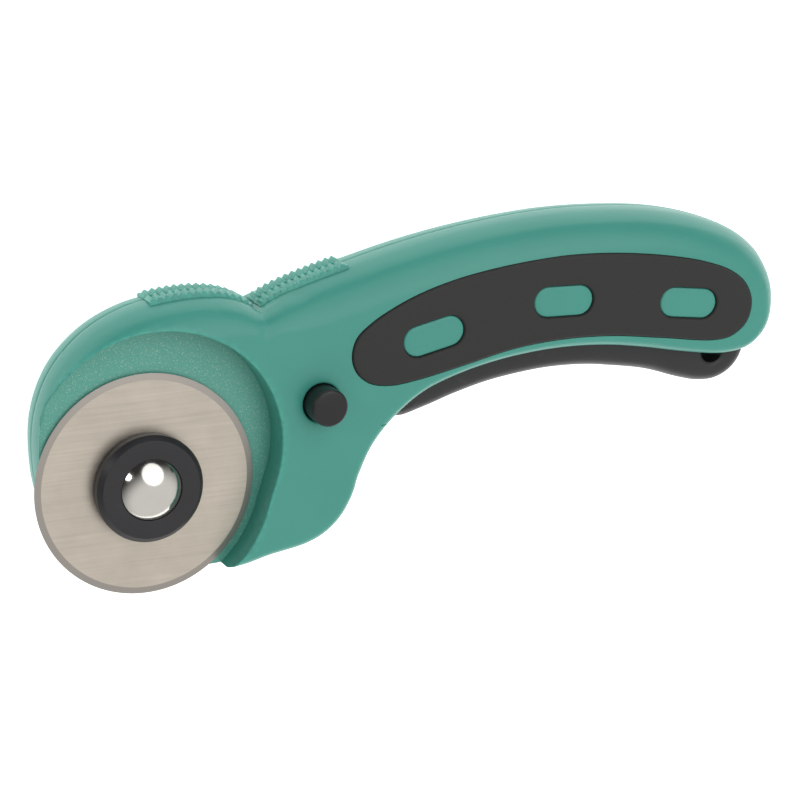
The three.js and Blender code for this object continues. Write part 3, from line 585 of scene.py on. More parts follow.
def dark_plastic(name, colour, roughness):
    """Dark satin plastic: faint flow clouds, fine grain and a few rubbed spots."""
    look = Look(name, {"IOR": 1.47})
    grain = look.noise(look.place, 3000, 3, 0.6)
    cloud = look.noise(look.place, 110, 4, 0.6)
    rub = look.smooth(look.noise(look.placed(scale=(0.5, 1, 1), turn=0.4), 420, 4, 0.7), 0.58, 0.72)
    body = look.mix(cloud, shade(colour, 0.85), shade(colour, 1.18))
    look.paint(
        colour=look.mix(rub * 0.35 + 0.5 * look.pale_share(), body, shade(colour, 2.0)),
        roughness=roughness + 0.12 * grain - 0.06 * rub,
        normal=look.bump(grain, 0.00002, 0.4),
    )
    return look.material


def grip_rubber(colour):
    """Matt rubber: a close pebble of small cells, dusty on the crests."""
    look = Look("grip_rubber", {"IOR": 1.5, "Sheen Weight": 0.08, "Sheen Roughness": 0.5})
    pebble = look.cells(look.place, 2100)
    fine = look.noise(look.place, 5200, 2, 0.6)
    dust = look.smooth(look.noise(look.place, 260, 5, 0.65), 0.42, 0.75)
    body = look.mix(dust, shade(colour, 0.94), shade(colour, 1.1))
    look.paint(
        colour=look.mix(look.pale_share() * 0.5, body, shade(colour, 1.8)),
        roughness=0.56 + 0.12 * fine + 0.06 * dust,
        normal=look.bump(pebble * 0.6 + fine * 0.5, 0.00004, 0.45),
    )
    return look.material


def blade_steel(colour, edge_colour):
    """Rolled strip steel: straight grain along the handle's length, cloudy tarnish, and a ground bevel whose
    marks run round the edge."""
    look = Look("blade_steel", {"Metallic": 1.0})
    centred = look.placed(blade_axis())
    radius = look.length(look.placed(blade_axis(), (1, 1, 0)))
    lines = look.noise(look.placed(blade_axis(), (28, 1500, 1), 0.05), 1, 3, 0.7)
    hairs = look.noise(look.placed(blade_axis(), (90, 6200, 1), 0.05), 1, 2, 0.7)
    cloud = look.noise(centred, 95, 4, 0.6)
    bevel = look.smooth(radius, (BLADE_R - 1.36) * MM, (BLADE_R - 1.28) * MM)
    x, y, _ = look.split(centred)
    angle = look.math("ARCTAN2", y, x)
    ring = look.node("ShaderNodeCombineXYZ", {}, {0: radius * 9000, 1: angle * 3, 2: 0})
    grinding = look.noise(Term(look, ring.outputs[0]), 1, 2, 0.6)
    flat = look.mix(cloud * 0.5 + lines * 0.5, shade(colour, 0.66), shade(colour, 1.3))
    look.paint(
        colour=look.mix(bevel, flat, edge_colour),
        roughness=0.3 + 0.16 * hairs + 0.08 * cloud + 0.04 * bevel,
        normal=look.bump((1 - bevel) * (lines * 0.7 + hairs * 0.5) + bevel * grinding, 0.000008, 0.5),
    )
    return look.material


def bright_metal(name, colour, roughness, scratch):
    """Plated or plain metal: fine crossed scratches and a slight haze."""
    look = Look(name, {"Metallic": 1.0})
    haze = look.noise(look.place, 380, 4, 0.6)
    first = look.noise(look.placed(scale=(260, 9000, 900), turn=0.7), 1, 2, 0.6)
    second = look.noise(look.placed(scale=(8000, 320, 900), turn=0.35), 1, 2, 0.6)
    marks = look.smooth(first, 0.6, 0.75) + look.smooth(second, 0.6, 0.75)
    look.paint(
        colour=look.mix(haze, shade(colour, 0.94), shade(colour, 1.03)),
        roughness=roughness + 0.05 * haze + scratch * marks,
        normal=look.bump(marks, 0.000003, 0.4),
    )
    return look.material


FINISHES = {}


def finish_of(name):
    """The named material, made once from the colours in the panel."""
    colours = bpy.context.scene.cutter_colours
    makers = {
        "teal": lambda: teal_plastic(colours.shells),
        "rubber": lambda: grip_rubber(colours.inlays),
        "lever": lambda: dark_plastic("lever_plastic", colours.lever, 0.36),
        "button": lambda: dark_plastic("button_plastic", colours.button, 0.3),
        "washer": lambda: dark_plastic("washer_plastic", colours.washer, 0.34),
        "blade": lambda: blade_steel(colours.blade, tuple(colours.bevel) + (1.0,)),
        "chrome": lambda: bright_metal("bolt_chrome", colours.bolt, 0.1, 0.06),
        "steel": lambda: bright_metal("plain_steel", colours.steel, 0.26, 0.1),
    }
    if name not in FINISHES:
        FINISHES[name] = makers[name]()
    return FINISHES[name]


# ---- shells ----
def body_lines():
    """The body's outline and the outlines of its two rolled parts, the head and the handle."""
    outline = spline(BODY, 1.2, False)
    outline[:, :2] = inset(outline, FINE)
    head = spline(BODY[:HEEL + 1] + HEAD_CLOSE + [BODY[0]], 0.8, False)
    handle = spline(BODY[CHIN:] + HANDLE_CLOSE + [BODY[CHIN]], 0.8, False)
    for loop in (head, handle):
        loop[:, :2] = inset(loop, FINE)
    return outline, head, handle


def roll_width(place, loop):
    """Roll-over width at places along a loop."""
    return np.interp(place, np.arange(len(loop) + 1), np.r_[loop[:, 2], loop[0, 2]])


def rolled(depth, width):
    """Fall of a rolled skin: a quarter ellipse as wide as the roll-over and a little taller."""
    return eased(depth, width) * (width + ROLL_EXTRA) / width


def skin_height(points, head, handle):
    """Height of the outer skin: each rolled part falls from the face towards its outline; the smaller fall
    shows, blended where the two are nearly the same."""
    sharpness = 5
    beyond, least = 99, 1e-4
    total = 0
    for loop in (head, handle):
        depth, place = depth_in(points, loop)
        drop = rolled(depth, roll_width(place, loop))
        total = total + np.where(depth < -0.15, beyond, drop + least) ** -float(sharpness)
    return FACE_Z - total ** (-1 / sharpness)


def lever_rooms():
    """Outlines of the room that the lever and its hub sweep."""
    wide = inset(anticlockwise(spline(LEVER, 1.6, True)), -0.7)
    hub = taper(TRIGGER_PIVOT, 6.3, HUB_END, 4.5)
    rooms = []
    for loop in (wide, hub):
        rooms += [turned_about(loop, TRIGGER_PIVOT, angle) for angle in (0, -TRIGGER_TURN)]
    return rooms


def anticlockwise(loop):
    """The loop turned to run anticlockwise, which makes the area that it encloses positive."""
    x, y = loop[:, 0], loop[:, 1]
    area = (x * np.roll(y, -1) - y * np.roll(x, -1)).sum()
    return loop if area > 0 else loop[::-1]


def pair(loop):
    """A loop doubled a hair apart, for a steep wall."""
    return [inset(loop, STEP), inset(loop, -STEP)]


def inlay_line():
    """The inlay's outline."""
    return anticlockwise(spline(INLAY, 1.0, True))


def from_travel(points, radius):
    """Signed distance outside the room that a disc on the blade's axis sweeps as the blade is drawn in."""
    return from_capsule(points, (0, 0), BLADE_IN, radius)


def travel_line(radius, step=1.0):
    """Outline of that room."""
    return capsule((0, 0), BLADE_IN, radius, step)


def from_discs(points, places, radius):
    """Signed distance outside the nearest of several equal circles."""
    return np.min([from_disc(points, at, radius) for at in places], axis=0)


def inside_any(points, loops):
    """Which points lie inside at least one loop."""
    return np.max([depth_in(points, loop)[0] for loop in loops], axis=0) > 0


def shell_half(front):
    """One half of the body in front-side coordinates. The outer height is the rolled skin less the recess,
    the inlay's pocket and the counterbores; the inner height is the parting plane on the wall and the posts
    and the ceiling of the hollow elsewhere."""
    outline, head, handle = body_lines()
    inlay = inlay_line()
    rooms = lever_rooms()
    islands = [island_ends(island) for island in ISLANDS]
    screws = list(SCREWS.values())
    island_r = ISLAND_WIDTH / 2
    cover_r = RECESS_R + 1.8
    arm_boss_r = 4.2 if front else 3.2
    trigger_boss_r, lock_boss_r = 3.2, 6.2
    boss_z = PART_Z + LEVER_ROOM
    under_recess = RECESS_FLOOR_Z - 2

    def outer(p):
        """Height of the outside."""
        z = skin_height(p, head, handle)
        off_islands = np.min([from_capsule(p, a, b, island_r) for a, b in islands], axis=0)
        in_pocket = (depth_in(p, inlay)[0] > 0) & (off_islands > 0)
        rounded = z - eased(np.abs(off_islands), 0.35) * (off_islands <= 0)
        z = np.where(in_pocket, FACE_Z - POCKET_DEPTH, rounded)
        z = z - eased(from_disc(p, LOCK_AT, LOCK_HOLE_R), 0.5)
        if not front:
            bores = from_discs(p, screws, SCREW_BORE_R)
            z = np.where(bores < 0, 1.2, z - eased(bores, 0.3))
            return z - eased(from_travel(p, NUT_OPENING_R), 0.7)
        away = from_travel(p, RECESS_R)
        floor = np.minimum(z, RECESS_FLOOR_Z)
        z = np.where(away < -STEP / 2, floor, np.maximum(z - eased(away, RIM_EASE), floor))
        sink = from_disc(p, ARM_PIVOT, SINK_RADIUS)
        return z - SINK_DEPTH * np.exp(-(sink / 0.55) ** 2) * (away > RIM_EASE)

    def inner(p):
        """Height of the inside."""
        depth, place = depth_in(p, outline)
        width = np.maximum(roll_width(place, outline) - 1.3, 0.8)
        z = np.maximum(FACE_Z - SKIN - rolled(depth - WALL, width), PART_Z + 0.5)
        if front:
            z = np.where(from_travel(p, cover_r) < 0, np.minimum(z, under_recess), z)
        z = np.where(from_disc(p, ARM_PIVOT, arm_boss_r) < 0, np.minimum(z, under_recess), z)
        bosses = np.minimum(from_disc(p, TRIGGER_PIVOT, trigger_boss_r), from_disc(p, LOCK_AT, lock_boss_r))
        z = np.where(bosses < 0, np.minimum(z, boss_z), z)
        posts = from_discs(p, screws, POST_R)
        foot = PART_Z + SEAM + eased(depth, 0.3) * (depth < WALL)
        z = np.where((posts < 0) | (depth < WALL), foot, z)
        z = np.where(inside_any(p, rooms), np.maximum(z, boss_z), z)
        z = np.where(from_disc(p, ARM_PIVOT, ARM_HOLE_R) < 0, 2.5, z)
        z = np.where(from_disc(p, TRIGGER_PIVOT, TRIGGER_HOLE_R) < 0, FACE_Z - 1.7, z)
        if front:
            z = np.where(from_discs(p, screws, SCREW_PILOT_R) < 0, 0.1, z)
        return z

    def keep(p):
        """Where there is plastic."""
        solid = (depth_in(p, outline)[0] > 0) & (from_disc(p, LOCK_AT, LOCK_HOLE_R) > 0)
        if front:
            return solid & (from_travel(p, BOLT_WINDOW_R) > 0)
        return solid & (from_discs(p, screws, SCREW_HOLE_R) > 0) & (from_travel(p, NUT_OPENING_R) > 0)

    features = [*pair(inlay), circle(LOCK_AT, LOCK_HOLE_R, 0.6)]
    features += [circle(LOCK_AT, LOCK_HOLE_R + d, 0.7) for d in (0.1, 0.25, 0.5)]
    for a, b in islands:
        features += [capsule(a, b, island_r + d, 0.7) for d in (STEP, -STEP, -0.12, -0.36)]
    if front:
        features += [travel_line(RECESS_R + d, 0.9) for d in (-STEP, 0, 0.04, 0.14, 0.28, RIM_EASE)]
        features.append(travel_line(BOLT_WINDOW_R, 0.8))
    else:
        features += [travel_line(NUT_OPENING_R + d, 0.8) for d in (0, 0.08, 0.3, 0.7)]
        bore_radii = [SCREW_HOLE_R] + [SCREW_BORE_R + d for d in (-STEP, STEP, 0.15, 0.35)]
        features += [circle(at, r, 0.6) for at in screws for r in bore_radii]
    hidden = [*pair(inset(outline, WALL)), inset(outline, 0.3)]
    for loop in rooms:
        hidden += pair(loop)
    steps = [(ARM_PIVOT, arm_boss_r), (ARM_PIVOT, ARM_HOLE_R), (TRIGGER_PIVOT, trigger_boss_r),
             (LOCK_AT, lock_boss_r), (TRIGGER_PIVOT, TRIGGER_HOLE_R), *((at, POST_R) for at in screws)]
    for at, radius in steps:
        hidden += [circle(at, radius + d, 0.9) for d in (STEP, -STEP)]
    if front:
        hidden += [travel_line(cover_r + d) for d in (STEP, -STEP)]
        hidden += [circle(at, SCREW_PILOT_R + d) for at in screws for d in (STEP, -STEP)]
    scatter = shell_scatter(outline, features, hidden)
    return plan_solid([outline[:, :2], *features, *hidden], scatter, keep, outer, inner)


def in_box(points, low, high):
    """Which points lie strictly inside a box in plan."""
    return ((points > low) & (points < high)).all(axis=1)


def shell_scatter(outline, features, hidden):
    """Loose plan points of a shell: rows along the roll-over at even turns of its quarter ellipse, a fine
    grid at the notch of the crown, and a wide grid elsewhere."""
    notch_low, notch_high = np.array([18.0, 21.0]), np.array([34.0, 34.0])
    turns = np.radians(np.arange(9, 91, 9))
    rings = np.vstack([inset(outline, outline[:, 2] * (1 - math.cos(a))) for a in turns])
    rings = clear_of(rings, features, 0.22)
    grid = clear_of(hex_grid(outline, 1.8), features + hidden, 0.5)
    depth, place = depth_in(grid, outline)
    grid = grid[depth > roll_width(place, outline) * 0.55]
    fine = hex_grid(np.array([notch_low, notch_high]), 0.6)
    fine = clear_of(fine[depth_in(fine, outline)[0] > 0.4], features + hidden, 0.25)
    near = in_box(rings, notch_low, (notch_high[0], np.inf))
    rings = rings[~near | (depth_in(rings, outline)[0] < 0.35)]
    return np.vstack([rings, grid[~in_box(grid, notch_low, notch_high)], fine])


def shell_rim_band(verts):
    """Attribute of the front shell that makes it paler: strongest along the rim of the recess."""
    rim = from_travel(verts[:, :2], RECESS_R)
    return 0.5 * np.exp(-((rim - 0.2) / 0.35) ** 2) * (verts[:, 2] > 0)


def rib_painted_light(verts):
    """Attribute of the ribs that makes them paler: painted light, an even paler tone that stands in for the
    ribs' lit faces.
    """
    return np.full(len(verts), 0.45)


def thumb_ribs(low, high, shift):
    """Serrated strips along the crown, one row deep: the height over the skin is a base plus a rounded saw of
    the distance along the edge, and the saw fades at both ends of the strip and across the row."""
    crown = spline(BODY, 0.12, False)
    pitch, tooth, sunk_by, fade = 1.5, 0.64, 1.2, 0.5
    across = np.array([0.0, 0.13, 0.5, 0.85, 0.94, 1.0])
    fall = np.array([0.3, 1.0, 1.0, 1.0, 0.85, 0.1])
    base = np.array([0.16, 0.2, 0.2, 0.2, 0.2, 0.14])
    z = low + (high - low) * across
    solids = []
    for x0, x1 in ((2.2, 23.4), (25.0, 44.0)):
        rows = (crown[:, 1] > 30) & (crown[:, 0] > x0) & (crown[:, 0] < x1)
        path = crown[rows]
        path = path[np.argsort(path[:, 0])][:, :2]
        tangent = np.gradient(path, axis=0)
        tangent /= np.linalg.norm(tangent, axis=1, keepdims=True)
        outward = np.stack([-tangent[:, 1], tangent[:, 0]], axis=1)
        measured = np.r_[0, np.cumsum(np.linalg.norm(np.diff(path, axis=0), axis=1))]
        along = np.arange(0, measured[-1], pitch / 8)
        path, outward = (
            np.column_stack([np.interp(along, measured, column) for column in places.T])
            for places in (path, outward)
        )
        phase = (along / pitch + shift) % 1.0
        saw = 1 - np.abs(2 * phase - 1)
        saw = 0.85 * saw + 0.15 * np.sin(saw * math.pi / 2)
        end = np.clip(np.minimum(along, along[-1] - along) / fade, 0, 1)
        height = base[None] + tooth * saw[:, None] * fall[None] * end[:, None]
        xy = path[:, None, :] + outward[:, None, :] * height[..., None]
        skin = np.concatenate([xy, np.broadcast_to(z[None, :, None], (*xy.shape[:2], 1))], axis=2)
        sunk = path - outward * sunk_by
        back = [np.column_stack([sunk, np.full(len(path), level)])[:, None] for level in (high, low)]
        section = np.concatenate([skin, *back], axis=1)
        solids.append(sweep(section if high < low else section[:, ::-1]))
    return joined(solids)


def joined(solids):
    """Several solids as one mesh."""
    verts, faces, first = [], [], 0
    for points, polygons in solids:
        verts.append(points)
        faces += [[corner + first for corner in polygon] for polygon in polygons]
        first += len(points)
    return np.vstack(verts), faces


def grip_inlay():
    """Rubber inlay: flat top with rounded edges round its outline and its windows."""
    gap, roll, proud = 0.1, 0.55, 0.4
    low_z = FACE_Z - POCKET_DEPTH + gap
    outline = inset(inlay_line(), gap)
    islands = [island_ends(island) for island in ISLANDS]
    reach = ISLAND_WIDTH / 2 + gap

    def edge(p):
        """Distance in from the nearest edge."""
        rim, _ = depth_in(p, outline)
        return np.minimum(rim, np.min([from_capsule(p, a, b, reach) for a, b in islands], axis=0))

    def top(p):
        """Height of the top."""
        return FACE_Z + proud - eased(edge(p), roll)

    def bottom(p):
        """Height of the underside."""
        return np.full(len(p), low_z)

    rows = [roll * (1 - math.cos(math.radians(turn))) for turn in (25, 45, 65, 90)]
    loops = [outline] + [inset(outline, row) for row in rows]
    for a, b in islands:
        loops += [capsule(a, b, reach + row, 0.7) for row in (0, *rows)]
    grid = clear_of(hex_grid(outline, 1.8), loops, 0.5)
    grid = grid[depth_in(grid, outline)[0] > 0.5]
    return plan_solid(loops, grid, lambda p: edge(p) > 0, top, bottom)


def lever_solid():
    """Trigger lever: a bar with rounded edges, a flat hub round the pivot and a thin nose behind the arm."""
    line = anticlockwise(spline(LEVER, 1.3, True))
    hub_r, bend_r, link_r = 5.8, 4.5, 4.4
    hub = taper(TRIGGER_PIVOT, hub_r, HUB_END, 4)
    noses = [
        taper(TRIGGER_PIVOT, hub_r, NOSE_BEND, bend_r), taper(NOSE_BEND, bend_r, LINK_AT, link_r),
        circle(LOCK_AT, LOCK_R + 2.5),
    ]
    lock_swung = turned_about([LOCK_AT], TRIGGER_PIVOT, TRIGGER_TURN)[0]
    slot = capsule(lock_swung, LOCK_AT, LOCK_R + 0.3, 0.8)
    link_drawn = turned_about([LINK_AT], ARM_PIVOT, -ARM_TURN)[0]
    link_swung = turned_about([link_drawn], TRIGGER_PIVOT, TRIGGER_TURN)[0]
    link_slot = capsule(LINK_AT, link_swung, LINK_PIN_R + 0.6, 0.6)
    spring_well = np.array([[65.9, 17.9], [74.1, 17.9], [74.1, 30.0], [65.9, 30.0]])
    nose_top, nose_low = -6.4, -9.4
    outside = -99

    def half_height(p):
        """Half the height of the bar and hub about the parting plane, with a bead round the hanging hole."""
        depth, _ = depth_in(p, line)
        half = LEVER_HALF - eased(depth, LEVER_ROLL)
        half = half - 0.35 * np.exp(-(from_disc(p, HANG_HOLE, HANG_HOLE_R) / 0.35) ** 2)
        half = np.where(depth > -0.015, half, outside)
        return np.where(depth_in(p, hub)[0] > 0, np.maximum(half, LEVER_HALF), half)

    def top(p):
        """Height of the top."""
        return np.maximum(PART_Z + half_height(p), nose_top)

    def bottom(p):
        """Height of the underside."""
        return np.minimum(PART_Z - half_height(p), nose_low)

    def keep(p):
        """Where there is plastic."""
        solid = inside_any(p, (line, hub, *noses)) & ~inside_any(p, (slot, link_slot, spring_well))
        holes = np.minimum(from_disc(p, HANG_HOLE, HANG_HOLE_R), from_disc(p, TRIGGER_PIVOT, TRIGGER_HOLE_R))
        return solid & (holes > 0)

    turns = np.radians([12, 24, 36, 48, 60, 75, 90])
    rings = [inset(line, LEVER_ROLL * (1 - math.cos(a))) for a in turns]
    loops = [line, *pair(hub), *noses, slot, link_slot, spring_well, circle(TRIGGER_PIVOT, TRIGGER_HOLE_R)]
    loops += [circle(HANG_HOLE, HANG_HOLE_R + d, 0.5) for d in (0, 0.2, 0.45, 0.8)]
    loose = clear_of(np.vstack(rings), loops[1:], 0.2)
    grid = clear_of(hex_grid(np.vstack([line, noses[1]]), 1.8), loops + rings, 0.45)
    return plan_solid(loops, np.vstack([loose, grid]), keep, top, bottom)


def arm_solid():
    """Blade arm: a flat tapering plate with eased edges and a round boss under the blade."""
    line = taper((0, 0), 9, ARM_PIVOT, 6, 30)
    holes = (((0, 0), 3.05), (ARM_PIVOT, ARM_HOLE_R), (LINK_AT, LINK_PIN_R + 0.05))
    top_z, low_z, boss_r, ease, under_blade = -3.1, -6.1, 6.5, 0.4, 0.15

    def edge(p):
        """Distance in from the nearest edge."""
        return np.minimum(depth_in(p, line)[0], np.min([from_disc(p, at, r) for at, r in holes], axis=0))

    def top(p):
        """Height of the plate and its boss."""
        flat = top_z - eased(edge(p), ease)
        return np.where(from_disc(p, (0, 0), boss_r) < 0, -BLADE_THICK - under_blade, flat)

    def bottom(p):
        """Height of the underside."""
        return low_z + eased(edge(p), ease)

    loops = [line, inset(line, 0.15), inset(line, ease)]
    loops += [circle(at, r + d, 0.6) for at, r in holes for d in (0, 0.15, ease)]
    loops += [circle((0, 0), boss_r + d, 0.8) for d in (STEP, -STEP)]
    grid = clear_of(hex_grid(line, 2.5), loops, 0.6)
    grid = grid[depth_in(grid, line)[0] > 0.5]
    return plan_solid(loops, grid, lambda p: edge(p) > 0, top, bottom)


# ---- turned pieces ----
def ring_profile(inner, outer, low, high, ease):
    """Rectangular section of a ring with eased corners."""
    return softened([(inner, low), (outer, low), (outer, high), (inner, high)], ease, True)


def blade_profile():
    """Section of the blade: flat faces, ground bevels and a narrow edge."""
    bevel, bore, edge_in, edge_half = 1.3, 4.1, 0.02, 0.01
    middle = -BLADE_THICK / 2
    return [
        (bore, -BLADE_THICK), (BLADE_R - bevel, -BLADE_THICK), (BLADE_R - edge_in, middle - edge_half),
        (BLADE_R, middle), (BLADE_R - edge_in, middle + edge_half), (BLADE_R - bevel, 0), (bore, 0),
    ]


def washer_profile():
    """Section of the dark washer: chamfered rim, flat top and a seat for the bolt's head."""
    radius = (STACK_HIGH.x - STACK_LOW.x) / 2 / MM
    low, top = height_of("blade_washer", False), height_of("blade_washer", True)
    seat_r, seat, chamfer = 6.25, 2.6, 1
    return softened([
        (STACK_BORE_R, low), (radius - 0.3, low), (radius, low + 0.4), (radius, top - chamfer),
        (radius - chamfer, top), (seat_r, top), (seat_r, seat), (STACK_BORE_R, seat),
    ], 0.08, True)


def bolt_profile():
    """Section of the dome-headed bolt, from the tip of its shank to the crown, which is a spherical cap."""
    tip = height_of("blade_bolt", False)
    head_r, seat, edge, crown = 6.15, 2.7, 1.1, 2.7
    shank_r, shoulder_r, shoulder_z = 2.9, 4.0, -0.4
    sphere = (head_r**2 + crown**2) / (2 * crown)
    a = np.linspace(math.asin(head_r / sphere), 0, 26)
    cap = np.column_stack([sphere * np.sin(a), seat + edge + crown - sphere * (1 - np.cos(a))])
    shank = [
        (0, tip), (shank_r - 0.4, tip), (shank_r, tip + 0.4), (shank_r, shoulder_z), (shoulder_r, shoulder_z),
        (shoulder_r, seat), (head_r - 0.1, seat), (head_r, seat + 0.1),
    ]
    return np.vstack([shank, cap])


def button_profile():
    """Section of the lock button: two stout ends, a neck between them and eased rims."""
    low, top = height_of("lock_button", False), height_of("lock_button", True)
    neck_r, neck_low, neck_top = 2.6, -5.6, -1.6
    rim = top - 0.18
    return softened([
        (0, low), (LOCK_R, low), (LOCK_R, neck_low), (neck_r, neck_low), (neck_r, neck_top),
        (LOCK_R, neck_top), (LOCK_R, rim), (0, top),
    ], 0.75, False)


def pin_solid(node, radius, at):
    """A plain pin with rounded ends, as tall as its frame node."""
    low, high = height_of(node, False), height_of(node, True)
    profile = softened([(0, low), (radius, low), (radius, high), (0, high)], 0.3, False)
    return lathe(profile, at, 32)


def nut_solid():
    """Knurled nut: a ring whose outer radius dips along twelve flutes, each the arc of a small circle set on
    the rim."""
    low, high = height_of("blade_nut", False), height_of("blade_nut", True)
    radius, bore, flute, flute_at, count = 8.0, 3.02, 1.2, 8.6, 12

    def fluted(angle, r):
        """Radius on a profile row of radius r, at an angle."""
        pitch = 2 * math.pi / count
        off = (angle + pitch / 2) % pitch - pitch / 2
        reach = np.sqrt(np.maximum(flute**2 - (flute_at * np.sin(off)) ** 2, 0))
        rim = np.where(np.abs(flute_at * np.sin(off)) < flute, flute_at * np.cos(off) - reach, radius)
        return np.where(r > bore + 1, np.minimum(r, rim - (radius - r)), r)

    profile = softened([
        (bore, low), (radius - 1.6, low), (radius - 1.4, low + 0.25), (radius, low + 0.9), (radius, high),
        (bore, high),
    ], 0.2, True)
    return lathe(profile, count=240, closed=True, scale=fluted)


def screw_solid(at):
    """Case screw: a low domed head with a cross recess on the rear side, and its shank."""
    head_r, shank_r = 2.3, 1.1
    low, under, tip = 2 * PART_Z - 2.7, 2 * PART_Z - 1.3, PART_Z + 4.5
    crown, rim, cross_depth = 0.35, 0.3, 0.8
    at = np.array(at)
    arm, half = 1.35, 0.28
    cross = at + np.array([
        (arm, -half), (arm, half), (half, half), (half, arm), (-half, arm), (-half, half), (-arm, half),
        (-arm, -half), (-half, -half), (-half, -arm), (half, -arm), (half, -half),
    ])

    def bottom(p):
        """Height of the head's face."""
        dome = low + crown * np.clip(from_disc(p, at, 0) / head_r, 0, 1) ** 2
        dome = dome + eased(-from_disc(p, at, head_r), rim)
        return np.where(depth_in(p, cross)[0] > 0, low + cross_depth, dome)

    def top(p):
        """Height of the head's underside and the tip."""
        return np.where(from_disc(p, at, shank_r) < 0, tip, under)

    radii = (head_r, head_r - 0.12, head_r - rim, shank_r + STEP, shank_r - STEP)
    loops = [circle(at, r, 0.35) for r in radii]
    loops += pair(cross)
    return plan_solid(loops, circle(at, 1.7, 0.5), lambda p: from_disc(p, at, head_r) < 0, top, bottom)


def spring_solid():
    """Return spring: a round wire whose centre line is a helix about a line along Y."""
    corner_low, corner_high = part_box("trigger_return_spring")
    inside = 0.1
    x = ((corner_low.x + corner_high.x) / 2 - ORIGIN[0]) / MM
    low = (corner_low.y - ORIGIN[1]) / MM + inside
    high = (corner_high.y - ORIGIN[1]) / MM - inside
    radius, wire, turns = 3.0, 0.8, 7
    t = np.linspace(0, 1, turns * 28 + 1)
    a = t * turns * 2 * math.pi
    climb = low + wire / 2 + (high - low - wire) * t
    centre = np.column_stack([x + radius * np.cos(a), climb, PART_Z + radius * np.sin(a)])
    out = np.column_stack([np.cos(a), np.zeros_like(a), np.sin(a)])
    tangent = np.gradient(centre, axis=0)
    tangent /= np.linalg.norm(tangent, axis=1, keepdims=True)
    side = np.cross(tangent, out)
    b = np.linspace(0, 2 * math.pi, 10, endpoint=False)[None, :, None]
    return sweep(centre[:, None] + wire / 2 * (out[:, None] * np.cos(b) + side[:, None] * np.sin(b)))


def detent_solid():
    """Split ring in the button's bore: a square section carried round most of a circle."""
    half_split = 0.24
    inner, outer, low, high = LOCK_R + 0.25, LOCK_R + 0.85, 2.05, 2.75
    a = np.linspace(-math.pi / 2 + half_split, 1.5 * math.pi - half_split, 72)[:, None]
    section = softened([(inner, low), (outer, low), (outer, high), (inner, high)], 0.15, True)
    r, z = section[None, :, 0], section[None, :, 1]
    x, y = LOCK_AT[0] + r * np.cos(a), LOCK_AT[1] + r * np.sin(a)
    return sweep(np.stack([x, y, np.broadcast_to(z, x.shape)], axis=2)[:, ::-1])


# ---- panel values ----
class CutterSizes(bpy.types.PropertyGroup):
    """Sizes that a user may change."""

    rib_width: bpy.props.FloatProperty(
        name="Rib row width", description="Width of each row of thumb ribs", default=3.86 * MM, unit="LENGTH",
        precision=5,
    )
    floor_size: bpy.props.FloatProperty(
        name="Floor size", description="Width of the studio floor", default=12.0, unit="LENGTH",
    )
    lens: bpy.props.FloatProperty(
        name="Lens", description="Camera focal length in millimetres", default=117.0,
    )


def colour_property(name, description, default):
    """A linear colour setting."""
    return bpy.props.FloatVectorProperty(
        name=name, description=description, default=default, subtype="COLOR", size=3, min=0.0, max=1.0
    )


class CutterColours(bpy.types.PropertyGroup):
    """Base colours of the finishes, as linear values."""

    shells: colour_property("Shells", "Moulded shells", (0.055, 0.300, 0.243))
    inlays: colour_property("Inlays", "Rubber inlays", (0.017, 0.0165, 0.0165))
    lever: colour_property("Lever", "Squeeze lever", (0.022, 0.022, 0.024))
    button: colour_property("Button", "Lock button", (0.012, 0.012, 0.0125))
    washer: colour_property("Washer", "Washer, collar and nut", (0.018, 0.018, 0.021))
    blade: colour_property("Blade", "Blade face", (0.66, 0.60, 0.52))
    bevel: colour_property("Bevel", "Ground edge of the blade", (0.42, 0.39, 0.36))
    bolt: colour_property("Bolt", "Plated bolt", (0.74, 0.725, 0.68))
    steel: colour_property("Steel", "Pins, screws, arm and springs", (0.56, 0.56, 0.57))


# ---- operators ----
class CUTTER_OT_shells(bpy.types.Operator):
    """Build both moulded shells"""

    bl_idname = "cutter.shells"
    bl_label = "Shells"

    def execute(self, context):
        add_piece("shell_front", shell_half(True), "front_shell", "teal", 40, shell_rim_band)
        add_piece("shell_rear", upside_down(shell_half(False)), "rear_shell", "teal", 40)
        return {"FINISHED"}


class CUTTER_OT_thumb_ribs(bpy.types.Operator):
    """Build the two staggered rows of thumb ribs"""

    bl_idname = "cutter.thumb_ribs"
    bl_label = "Thumb ribs"

    def execute(self, context):
        width = context.scene.cutter_sizes.rib_width / MM
        half_gap = 0.04
        front = thumb_ribs(PART_Z + half_gap, PART_Z + half_gap + width, 0)
        rear = thumb_ribs(PART_Z - half_gap, PART_Z - half_gap - width, 0.5)
        # The ribs' paler tone is painted light.
        add_piece("thumb_ribs_front", front, "front_shell", "teal", 50, rib_painted_light)
        add_piece("thumb_ribs_rear", rear, "rear_shell", "teal", 50, rib_painted_light)
        return {"FINISHED"}


class CUTTER_OT_inlays(bpy.types.Operator):
    """Build the rubber inlays on both sides"""

    bl_idname = "cutter.inlays"
    bl_label = "Rubber inlays"

    def execute(self, context):
        inlay = grip_inlay()
        add_piece("inlay_front", inlay, "front_grip_inlay", "rubber", 50)
        add_piece("inlay_rear", upside_down(inlay), "rear_grip_inlay", "rubber", 50)
        return {"FINISHED"}


class CUTTER_OT_lever(bpy.types.Operator):
    """Build the squeeze lever and its pivot pin"""

    bl_idname = "cutter.lever"
    bl_label = "Squeeze lever"

    def execute(self, context):
        add_piece("lever", lever_solid(), "trigger_lever", "lever", 40)
        pin = pin_solid("trigger_pivot_pin", TRIGGER_PIN_R, TRIGGER_PIVOT)
        add_piece("lever_pin", pin, "trigger_pivot_pin", "steel")
        return {"FINISHED"}


